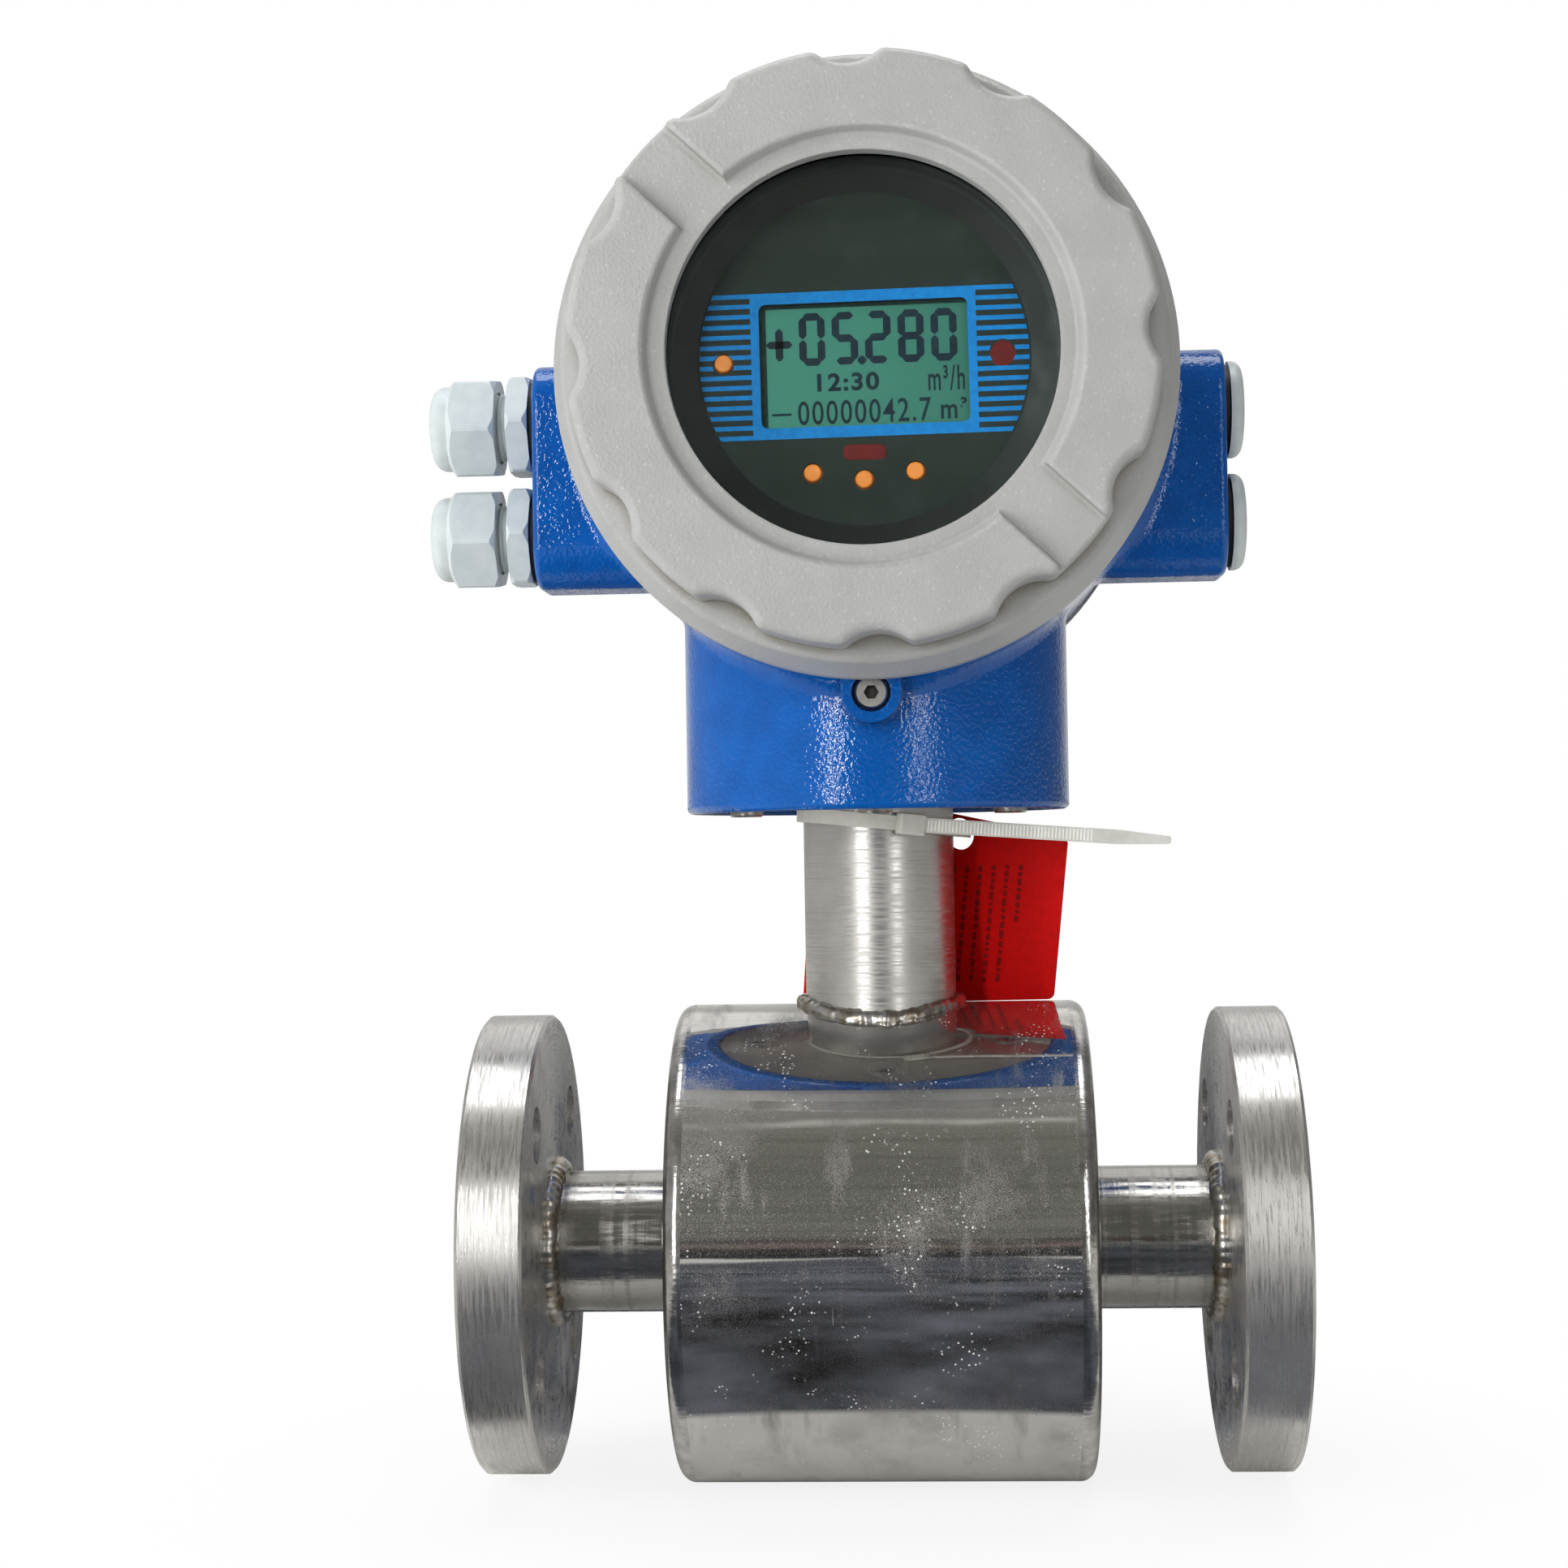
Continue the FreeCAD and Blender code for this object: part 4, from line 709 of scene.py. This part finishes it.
class METER_OT_display(bpy.types.Operator):
    """Finish the display stack, print its plate and light its figures"""
    bl_idname = "flowmeter.display"
    bl_label = "Display"

    # Print: rounding of the frame's opening, and the holes that spare the key and the round window.
    OPENING_R = 1.6 * MM
    KEY_HOLE_R = 2.45 * MM
    DISC_HOLE_R = 3.0 * MM
    DISC_R = 2.9 * MM
    CUTTER_T = 9 * INK_T
    # Large figures: the first one's place, and their height over the middle of the glass.
    VALUE = "+05.280"
    VALUE_LEFT = -19.5 * MM
    VALUE_UP = 6.3 * MM
    # Dark strips painted as the frame's shadow on the glass: their width on the left side and along the
    # top.
    SIDE_SHADOW = 1.5 * MM
    TOP_SHADOW = 0.8 * MM
    # Small rows: text, lower left corner from the head's axis, width, height and added weight, in mm.
    SMALL_ROWS = (
        ("12:30", -11.0, -6.9, 14.3, 4.2, 0.13),
        ("m³/h", 14.6, -7.6, 8.4, 5.8, 0.08),
        ("-", -21.6, -12.2, 4.5, 0.55, 0.0),
        ("00000042.7", -15.6, -14.5, 30.7, 5.5, 0.04),
        ("m³", 17.3, -14.2, 6.0, 4.9, 0.08),
    )

    def execute(self, context):
        colours = context.scene.meter_colours
        black = moulded("black_abs", linear("101414"), linear("0C0F0F"), 0.5, depth=0.002)
        paint(black, "display_bezel", "key_switches")
        paint(dusty_film("faceplate_film", colours.plate), "faceplate")
        paint(liquid_crystal("liquid_crystal", colours.lcd), "lcd_module")
        # The keys glow faintly: painted light, so that the caps look bright.
        amber = moulded("amber_silicone", colours.key, linear("DA7A26"), 0.4,
                        emission_color=linear("FF8A2A"), emission_strength=0.06)
        paint(amber, "left_key", "down_key", "enter_key", "up_key")
        red = moulded("infrared_filter", colours.infrared, linear("5C0E11"), 0.4, specular_ior_level=0.15)
        paint(red, "infrared_windows")
        self.print_plate(context.scene.meter_sizes, colours)
        self.light_figures(context.scene.meter_sizes, colours)
        return {"FINISHED"}

    def cutter(self, place, radius, corners):
        """Round bar through the print, to cut it with."""
        bpy.ops.mesh.primitive_cylinder_add(
            vertices=corners, radius=radius, depth=self.CUTTER_T,
            location=place, rotation=(math.pi / 2, 0, 0))
        return fixed(bpy.context.object)

    def print_plate(self, sizes, colours):
        """Blue frame round the LCD and the stripes beside it."""
        middle = Vector((0, PLATE_FRONT - INK_T / 2, LCD_MIDDLE.z))
        panel = block(middle, (sizes.frame_width, INK_T, sizes.frame_height))
        hole = block(middle, (LCD_OPENING[0], self.CUTTER_T, LCD_OPENING[1]))
        cut(panel, round_corners(hole, (0, 1, 0), self.OPENING_R, 5))
        stripe_l = sizes.print_radius - sizes.frame_width / 2
        count = round((sizes.frame_height - sizes.stripe) / sizes.stripe_pitch) + 1
        parts = [panel]
        for sign in (-1, 1):
            low = -(count - 1) / 2 * sizes.stripe_pitch
            centre = middle + Vector((sign * (sizes.frame_width + stripe_l) / 2, 0, low))
            stripes = block(centre, (stripe_l, INK_T, sizes.stripe))
            modify(stripes, "ARRAY", count=count, use_relative_offset=False, use_constant_offset=True,
                   constant_offset_displace=(0, 0, sizes.stripe_pitch))
            cut(stripes, self.cutter((0, middle.y, HEAD.z), sizes.print_radius, 128), "INTERSECT")
            if sign < 0:
                spot, radius = (KEY_BOX[0] + KEY_BOX[1]) / 2, self.KEY_HOLE_R
            else:
                spot, radius = DISC_BOX[1] - Vector((1, 1, 1)) * self.DISC_R, self.DISC_HOLE_R
            cut(stripes, self.cutter((spot.x, middle.y, spot.z), radius, 48))
            parts.append(stripes)
        settle(turn_about_head(merge(parts), DISPLAY_TURN), "faceplate_print",
               ink("frame_ink", colours.frame_ink, linear("0C71B8")))

    def light_figures(self, sizes, colours):
        """Signed value in seven segments over two rows of small figures, and the frame's painted shadow."""
        middle = Vector((0, LCD_BOX[0].y - INK_T / 2, LCD_MIDDLE.z))
        width, height = LCD_OPENING
        over = Vector((0, 0, self.VALUE_UP))
        value = seven_segments(self.VALUE, self.VALUE_LEFT, middle + over, sizes)
        rows = []
        for body, x, z, wide, high, weight in self.SMALL_ROWS:
            corner = Vector((x * MM, middle.y, HEAD.z + z * MM))
            rows.append(lettering(body, corner, (wide * MM, high * MM), weight * MM))
        figures = merge(value + rows)
        settle(turn_about_head(figures, DISPLAY_TURN), "lcd_figures",
               ink("lcd_segments", colours.figures, linear("182B38")))
        # Painted shadow: dark strips on the left side and along the top of the glass, where the frame
        # shades it.
        to_side = Vector((-width / 2 + self.SIDE_SHADOW / 2, 0, 0))
        to_top = Vector((self.SIDE_SHADOW / 2, 0, height / 2 - self.TOP_SHADOW / 2))
        side = block(middle + to_side, (self.SIDE_SHADOW, INK_T, height))
        top = block(middle + to_top, (width - self.SIDE_SHADOW, INK_T, self.TOP_SHADOW))
        edge = round_corners(side, (0, 1, 0), 0.3 * MM, 2)
        settle(turn_about_head(merge([edge, top]), DISPLAY_TURN), "lcd_painted_shadow",
               ink("lcd_shadow_ink", linear("1C3A36"), linear("16302C")))


class METER_OT_window(bpy.types.Operator):
    """Finish the window glass and what holds it"""
    bl_idname = "flowmeter.window"
    bl_label = "Window"

    def execute(self, context):
        paint(window_pane("window_glass"), "window_glass")
        paint(metal("window_ring_steel", linear("55585A"), linear("44474A"), 0.4), "window_ring")
        return {"FINISHED"}


class METER_OT_glands(bpy.types.Operator):
    """Finish the cable glands, plugs, washers and all other seals"""
    bl_idname = "flowmeter.glands"
    bl_label = "Glands and seals"

    # Thread on each gland body: its radius, ridge, start inside the nut and number of turns.
    THREAD_R = 8.8 * MM
    RIDGE = 0.3 * MM
    INSIDE = 1.0 * MM
    TURNS = 4

    def execute(self, context):
        colours = context.scene.meter_colours
        sizes = context.scene.meter_sizes
        nylon = moulded("gland_polyamide", colours.gland, linear("BDC6C7"), 0.34,
                        subsurface_weight=0.1, subsurface_radius=(0.6 * MM,) * 3)
        rubber = moulded("black_rubber", linear("151617"), linear("0F1011"), 0.55)
        liner = moulded("liner_rubber", linear("1B1B1C"), linear("131314"), 0.6)
        paint(nylon, "upper_gland_body", "lower_gland_body", "upper_gland_nut", "lower_gland_nut",
              "upper_plug", "lower_plug")
        paint(rubber, "gland_washers", "plug_washers", "upper_gland_seal", "lower_gland_seal",
              "neck_gasket", "front_cover_seal", "rear_cover_seal", "window_gasket")
        paint(liner, "liner")
        for side in ("upper", "lower"):
            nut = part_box(side + "_gland_nut")
            middle = (nut[0] + nut[1]) / 2
            start = (nut[1].x - self.INSIDE, middle.y, middle.z)
            thread(side + "_gland_thread", start, (-1, 0, 0), self.THREAD_R, self.RIDGE,
                   sizes.gland_pitch, self.TURNS, nylon)
        return {"FINISHED"}


class METER_OT_cable_tie(bpy.types.Operator):
    """Finish the cable tie and raise the ribs on its tail"""
    bl_idname = "flowmeter.cable_tie"
    bl_label = "Cable tie"

    # Tail of the tie, from its head to its tip, and its thickness.
    HEAD_END = Vector((8.45, -20.66, 104.58)) * MM
    TIP = Vector((72.0, -21.0, 99.6)) * MM
    STRAP_T = 1.2 * MM
    # Ribs: the size of one, its rounding, the first one's distance from the head and the ribbed length.
    RIB = Vector((0.42, 0.3, 2.7)) * MM
    RIB_ROUND = 0.12 * MM
    FIRST = 4.4 * MM
    RIBBED = 41.0 * MM

    def execute(self, context):
        sizes = context.scene.meter_sizes
        nylon = moulded("natural_nylon", linear("D6D5CE"), linear("CBCAC2"), 0.36,
                        subsurface_weight=0.25, subsurface_radius=(1.2 * MM,) * 3)
        # Painted light: the ribs take a paler copy of the strap's nylon, as if lit on their tops.
        lit_rib_nylon = moulded("lit_rib_nylon", linear("F4F3EE"), linear("ECEBE5"), 0.36,
                            subsurface_weight=0.1, subsurface_radius=(0.4 * MM,) * 3)
        paint(nylon, "cable_tie")
        run = (self.TIP - self.HEAD_END).normalized()
        start = self.HEAD_END + run * self.FIRST + Vector((0, -self.STRAP_T / 2, 0))
        rib = block((0, 0, 0), self.RIB)
        round_corners(rib, (0, 0, 1), self.RIB_ROUND, 2)
        modify(rib, "ARRAY", count=round(self.RIBBED / sizes.tie_pitch), use_relative_offset=False,
               use_constant_offset=True, constant_offset_displace=(sizes.tie_pitch, 0, 0))
        rib.matrix_world = Matrix.Translation(start) @ aimed((1, 0, 0), run)
        settle(rib, "cable_tie_ribs", lit_rib_nylon)
        return {"FINISHED"}


class METER_OT_tag(bpy.types.Operator):
    """Finish the hanging card and print plain bars on it"""
    bl_idname = "flowmeter.tag"
    bl_label = "Tag"

    # The card's plane: its distance from the neck's axis, tilt and bearing, as it was hung.
    DISTANCE = 19.3 * MM
    HINGE_Z = 102.2 * MM
    TILT = 6.0
    BEARING = -30.0
    # Rows of bars: the first one's top, their lean, spacing, number and lengths.
    TOP = (30.0 * MM, 94.0 * MM)
    LEAN = math.radians(10)
    ROW_PITCH = 3.9 * MM
    ROWS = 6
    FIRST_ROW = 15 * MM
    FULL_ROW = 30 * MM
    # Bars: width, least and greatest length in millimetres, gap and rounding.
    BAR_W = 1.25 * MM
    BAR_L = (0.9, 2.3)
    GAP = 0.55 * MM
    ROUNDING = 0.3 * MM

    def execute(self, context):
        colours = context.scene.meter_colours
        paint(ink("tag_card", colours.tag, linear("BA0807")), "tag")
        rng = random.Random(7)
        bars = []
        for row in range(self.ROWS):
            reach = self.FIRST_ROW if row == 0 else self.FULL_ROW
            down = 0.0
            while down < reach:
                size = rng.uniform(*self.BAR_L) * MM
                u = self.TOP[0] - row * self.ROW_PITCH - math.sin(self.LEAN) * (down + size / 2)
                v = self.TOP[1] - math.cos(self.LEAN) * (down + size / 2)
                bar = block((0, 0, 0), (self.BAR_W, INK_T, size))
                round_corners(bar, (0, 1, 0), self.ROUNDING, 2)
                turn = Matrix.Rotation(self.LEAN, 4, "Y")
                bar.matrix_world = Matrix.Translation((u, self.DISTANCE - INK_T / 2, v)) @ turn
                bars.append(fixed(bar))
                down += size + self.GAP
        print_piece = merge(bars)
        hinge = Vector((0, self.DISTANCE, self.HINGE_Z))
        tilt = Matrix.Rotation(math.radians(self.TILT), 4, "X")
        bearing = Matrix.Rotation(math.radians(self.BEARING), 4, "Z")
        print_piece.matrix_world = bearing @ Matrix.Translation(hinge) @ tilt @ Matrix.Translation(-hinge)
        settle(print_piece, "tag_print", ink("tag_ink", linear("8A1010"), linear("740C0C")))
        return {"FINISHED"}


class METER_OT_screws(bpy.types.Operator):
    """Finish the screws and other small steel"""
    bl_idname = "flowmeter.screws"
    bl_label = "Screws"

    def execute(self, context):
        paint(metal("screw_steel", linear("D2D0CC"), linear("AAA7A2"), 0.3),
              "neck_screws", "lock_screws", "board_screws", "terminal_screws", "electrode_nuts")
        paint(metal("electrode_alloy", linear("CFCDC8"), linear("B5B2AC"), 0.18),
              "front_electrode", "rear_electrode")
        return {"FINISHED"}


class METER_OT_inner_pieces(bpy.types.Operator):
    """Finish the coils, cores, boards and terminals inside"""
    bl_idname = "flowmeter.inner_pieces"
    bl_label = "Inner pieces"

    def execute(self, context):
        paint(wound_copper("wound_copper"), "upper_coil", "lower_coil")
        paint(metal("core_iron", linear("5E5D5B"), linear("4A4948"), 0.45),
              "upper_pole_core", "lower_pole_core", "flux_yoke")
        paint(metal("standoff_brass", linear("C9A55C"), linear("AE8A44"), 0.28),
              "front_standoffs", "rear_standoffs")
        paint(moulded("solder_mask", linear("1E5E3C"), linear("174C30"), 0.35),
              "display_board", "main_board")
        paint(moulded("terminal_plastic", linear("20231F"), linear("191B18"), 0.45), "terminal_block")
        paint(moulded("bush_plastic", linear("E3E0D6"), linear("D5D2C8"), 0.4), "electrode_bushes")
        return {"FINISHED"}


class METER_OT_stage(bpy.types.Operator):
    """Lay the floor, hang the lamps and set the camera at the photograph's view"""
    bl_idname = "flowmeter.stage"
    bl_label = "Stage"

    # Camera: place, then turns to the left, upwards and about its own axis.
    CAMERA_AT = Vector((14.3772, -678.1568, 97.9958)) * MM
    YAW, PITCH, ROLL = 0.0563, 0.0259, -0.0163
    SENSOR = 36.0
    IMAGE_SIZE = 1932
    FOCAL_PIXELS = 3284.4522
    # Lamps: name, place, aim, width, height, power and whether mirrors show them.
    LAMPS = (
        ("left_window", (-1.62, -0.72, 0.55), (0, 0, 0.13), 0.7, 1.2, 22.0, False),
        ("front_lamp", (-0.68, -1.50, 0.50), (0, 0, 0.13), 0.12, 1.0, 9.0, True),
        ("right_lamp", (0.74, -1.45, 0.50), (0, 0, 0.13), 0.12, 1.0, 3.6, True),
        ("back_lamp", (0.30, 1.90, 0.80), (0, 0, 0.13), 0.9, 1.2, 15.0, False),
        ("ceiling", (0.0, 0.05, 1.75), (0, 0, 0.1), 1.6, 0.75, 15.0, True),
    )
    # What mirrors see: degrees from the front, over the top and down behind, and the shade there.
    ROOM = (
        (0, "1E1E22"), (3, "2A2A2C"), (5, "7E6E6A"), (6.5, "403E3E"), (9, "6C6C67"), (14, "74756F"),
        (40, "686963"), (62, "7C7D76"), (64, "C0C0BC"), (66, "82827C"), (78, "9A9A96"), (82, "FFFFFF"),
        (105, "FFFFFF"), (108, "707274"), (117, "78797A"), (121, "FFFFFF"), (150, "FAFAF8"),
        (156, "BEBEBC"), (164, "C4C4C2"), (180, "DEDEDC"),
    )
    # Their uneven horizon: its steps across and up, their height and where it starts, in radians.
    SKYLINE = (22.0, 4.0, 4.0)
    SKYLINE_STEP = 0.12
    SKYLINE_START = 0.06
    # Their faint dark lines: the run of the bands, the width of a line and its shade.
    BANDS = (1.6, 1.6, 17.0)
    LINE_WIDTH = 0.025
    LINE_SHADE = 0.78
    # Their plain sides: where they start and end to turn plain, and the shade on the left and right.
    ASIDE = (0.35, 0.6)
    SIDE_SHADES = (0.36, 0.12)
    # Soft light of the room: least and most, and where it is brightest.
    AMBIENT = (0.1, 0.4)
    BRIGHT_SIDE = (-0.55, -0.75, 0.37)
    # What mirrors see of the floor: two shades in front and one to the sides, where it starts round the
    # object, in an oval, where the sides start, and the share of it that lights matt surfaces.
    GROUND = ("07080A", "767A87", "D4D4D0")
    GROUND_EDGE = (53 * MM, 56 * MM)
    GROUND_OVAL = (0.33, 1.0, 0.0)
    GROUND_SIDE = (150 * MM, 190 * MM)
    GROUND_SHARE = 0.15
    # Where the floor starts and ends to fade into the white behind it, and its share of white before that.
    FADE = (0.05, 0.22)
    NEAR_WHITE = 0.84

    def execute(self, context):
        scene = context.scene
        scene.view_settings.view_transform = "Standard"
        self.floor()
        self.world(scene)
        for name, place, aim, width, height, power, shown in self.LAMPS:
            self.lamp(name, Vector(place), Vector(aim), width, height, power, shown)
        self.camera(scene)
        return {"FINISHED"}

    def floor(self):
        """Pale floor that fades to white; the object's mirrors see it darken past the object."""
        bpy.ops.object.select_all(action="DESELECT")
        bpy.ops.mesh.primitive_plane_add(size=12, location=(0, 0, -DRUM_R))
        floor = bpy.context.object
        floor.name = "floor"
        material, tree, shader, place = surface(
            "pale_floor", roughness=0.9, base_color=linear("F4F4F2"), specular_ior_level=0.0)
        path = add(tree, "LightPath")
        reach = add(tree, "VectorMath", {0: place}, operation="LENGTH")["Value"]
        far = add(tree, "MapRange", {"Value": reach, "From Min": self.FADE[0], "From Max": self.FADE[1],
                                     "To Min": self.NEAR_WHITE}, interpolation_type="SMOOTHSTEP")[0]
        faded = add(tree, "Math", {0: far, 1: path["Is Camera Ray"]}, operation="MULTIPLY")[0]
        white = add(tree, "Emission", {"Color": linear("FFFFFF"), "Strength": 1.0})[0]
        plain = add(tree, "MixShader", {0: faded, 1: shader.outputs[0], 2: white})[0]
        oval = add(tree, "VectorMath", {0: place, 1: self.GROUND_OVAL}, operation="MULTIPLY")[0]
        away = add(tree, "VectorMath", {0: oval}, operation="LENGTH")["Value"]
        beyond = add(tree, "MapRange", {
            "Value": away, "From Min": self.GROUND_EDGE[0], "From Max": self.GROUND_EDGE[1]})[0]
        bounced = add(tree, "Math", {
            0: path["Is Diffuse Ray"], 1: self.GROUND_SHARE, 2: path["Is Glossy Ray"]},
            operation="MULTIPLY_ADD")[0]
        mirrored = add(tree, "Math", {0: beyond, 1: bounced}, operation="MULTIPLY")[0]
        clutter = patches(tree, place, 70, 0.35, 0.7)
        dark, pale, clear = (linear(shade) for shade in self.GROUND)
        strewn = add(tree, "Mix", {0: clutter, 6: dark, 7: pale}, data_type="RGBA")[2]
        across = add(tree, "SeparateXYZ", {0: place})["X"]
        sideways = add(tree, "Math", {0: across}, operation="ABSOLUTE")[0]
        cleared = add(tree, "MapRange", {
            "Value": sideways, "From Min": self.GROUND_SIDE[0], "From Max": self.GROUND_SIDE[1]})[0]
        top = add(tree, "Mix", {0: cleared, 6: strewn, 7: clear}, data_type="RGBA")[2]
        ground = add(tree, "Emission", {"Color": top})[0]
        both = add(tree, "MixShader", {0: mirrored, 1: plain, 2: ground})[0]
        tree.links.new(both, tree.nodes["Material Output"].inputs["Surface"])
        floor.data.materials.append(material)

    def world(self, scene):
        """White to the camera and through glass; mirrors see grey walls under a white ceiling."""
        world = bpy.data.worlds.new("studio")
        scene.world = world
        world.use_nodes = True
        tree = world.node_tree
        tree.nodes.clear()
        path = add(tree, "LightPath")
        view = add(tree, "TexCoord")["Generated"]
        axes = add(tree, "SeparateXYZ", {0: view})
        forward = add(tree, "Math", {0: axes["Y"], 1: -1.0}, operation="MULTIPLY")[0]
        angle = add(tree, "Math", {0: axes["Z"], 1: forward}, operation="ARCTAN2")[0]
        # The horizon is uneven, so that no mirrored edge is a ruled line.
        skyline = add(tree, "Mapping", {"Vector": view, "Scale": self.SKYLINE})[0]
        step = add(tree, "TexNoise", {"Vector": skyline, "Scale": 1.0, "Detail": 2.0})[0]
        uneven = add(tree, "Math", {0: step, 1: self.SKYLINE_STEP, 2: angle}, operation="MULTIPLY_ADD")[0]
        turn = add(tree, "MapRange", {
            "Value": uneven, "From Min": self.SKYLINE_START, "From Max": math.pi + self.SKYLINE_START})[0]
        room = add(tree, "ValToRGB", {"Fac": turn})[0]
        stops = room.node.color_ramp.elements
        stops.remove(stops[1])
        for degrees, shade in self.ROOM:
            stop = stops[0] if degrees == 0 else stops.new(degrees / 180)
            stop.color = linear(shade)
        # Faint dark lines along the walls; to the sides they are plain, paler on the left.
        long_bands = add(tree, "Mapping", {"Vector": view, "Scale": self.BANDS})[0]
        bands = add(tree, "TexNoise", {"Vector": long_bands, "Scale": 1.0, "Detail": 1.0})[0]
        on_line = add(tree, "Math", {0: bands, 1: 0.5, 2: self.LINE_WIDTH}, operation="COMPARE")[0]
        line = add(tree, "MapRange", {"Value": on_line, "To Min": 1.0, "To Max": self.LINE_SHADE})[0]
        lined = add(tree, "VectorMath", {0: room, "Scale": line}, operation="SCALE")[0]
        side = add(tree, "MapRange", {
            "Value": axes["X"], "From Min": -1.0,
            "To Min": self.SIDE_SHADES[0], "To Max": self.SIDE_SHADES[1]})[0]
        aside = add(tree, "Math", {0: axes["X"]}, operation="ABSOLUTE")[0]
        turned = add(tree, "MapRange", {
            "Value": aside, "From Min": self.ASIDE[0], "From Max": self.ASIDE[1]})[0]
        walls = add(tree, "Mix", {0: turned, 6: lined, 7: side}, data_type="RGBA")[2]
        facing = add(tree, "VectorMath", {0: view, 1: self.BRIGHT_SIDE}, operation="DOT_PRODUCT")["Value"]
        soft = add(tree, "MapRange", {
            "Value": facing, "To Min": self.AMBIENT[0], "To Max": self.AMBIENT[1]})[0]
        ambient = add(tree, "Mix", {0: path["Is Glossy Ray"], 6: soft, 7: walls}, data_type="RGBA")[2]
        # Only a straight look through the glass sees white, and no light that comes back out of the head.
        bounces = add(tree, "Math", {0: path["Diffuse Depth"], 1: path["Glossy Depth"]}, operation="ADD")[0]
        straight = add(tree, "Math", {0: bounces, 1: 0.5}, operation="LESS_THAN")[0]
        through = add(tree, "Math", {0: path["Is Transmission Ray"], 1: straight}, operation="MULTIPLY")[0]
        seen = add(tree, "Math", {0: path["Is Camera Ray"], 1: through}, operation="MAXIMUM")[0]
        shade = add(tree, "Mix", {0: seen, 6: ambient, 7: linear("FFFFFF")}, data_type="RGBA")[2]
        back = add(tree, "Background", {"Color": shade, "Strength": 1.0})[0]
        output = tree.nodes.new("ShaderNodeOutputWorld")
        tree.links.new(back, output.inputs["Surface"])

    def lamp(self, name, place, aim, width, height, power, shown):
        """Soft rectangular lamp aimed at a point."""
        bpy.ops.object.light_add(type="AREA", location=place)
        lamp = bpy.context.object
        lamp.name = name
        lamp.data.shape = "RECTANGLE"
        lamp.data.size = width
        lamp.data.size_y = height
        lamp.data.energy = power
        lamp.rotation_mode = "QUATERNION"
        lamp.rotation_quaternion = (aim - place).to_track_quat("-Z", "Y")
        lamp.visible_camera = False
        lamp.visible_glossy = shown

    def camera(self, scene):
        """Camera at the photograph's place."""
        bpy.ops.object.camera_add()
        camera = bpy.context.object
        camera.name = "photo_camera"
        camera.data.sensor_width = self.SENSOR
        camera.data.lens = self.FOCAL_PIXELS / self.IMAGE_SIZE * self.SENSOR
        camera.data.clip_start = 0.05
        turn = Matrix.Rotation(self.YAW, 4, "Z") @ Matrix.Rotation(math.pi / 2 + self.PITCH, 4, "X")
        camera.matrix_world = Matrix.Translation(self.CAMERA_AT) @ turn @ Matrix.Rotation(self.ROLL, 4, "Z")
        scene.camera = camera


STEPS = (
    METER_OT_castings,
    METER_OT_pipe_steel,
    METER_OT_drum,
    METER_OT_weld_beads,
    METER_OT_display,
    METER_OT_window,
    METER_OT_glands,
    METER_OT_cable_tie,
    METER_OT_tag,
    METER_OT_screws,
    METER_OT_inner_pieces,
    METER_OT_stage,
)


class METER_PT_panel(bpy.types.Panel):
    """Sidebar panel with one button for each group of pieces"""
    bl_idname = "METER_PT_panel"
    bl_label = "Flow meter"
    bl_space_type = "VIEW_3D"
    bl_region_type = "UI"
    bl_category = "Flow meter"

    def draw(self, context):
        for step in STEPS:
            self.layout.operator(step.bl_idname)
        for group in (context.scene.meter_colours, context.scene.meter_sizes):
            for name in group.__annotations__:
                self.layout.prop(group, name)


CLASSES = (MeterColours, MeterSizes, *STEPS, METER_PT_panel)


def register():
    """Add the classes and the scene's settings to Blender."""
    for item in CLASSES:
        bpy.utils.register_class(item)
    bpy.types.Scene.meter_colours = bpy.props.PointerProperty(type=MeterColours)
    bpy.types.Scene.meter_sizes = bpy.props.PointerProperty(type=MeterSizes)


def unregister():
    """Take the classes and the scene's settings out again."""
    del bpy.types.Scene.meter_sizes
    del bpy.types.Scene.meter_colours
    for item in reversed(CLASSES):
        bpy.utils.unregister_class(item)


def main():
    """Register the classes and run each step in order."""
    register()
    for step in STEPS:
        getattr(bpy.ops.flowmeter, step.bl_idname.split(".")[1])()


if __name__ == "__main__":
    main()
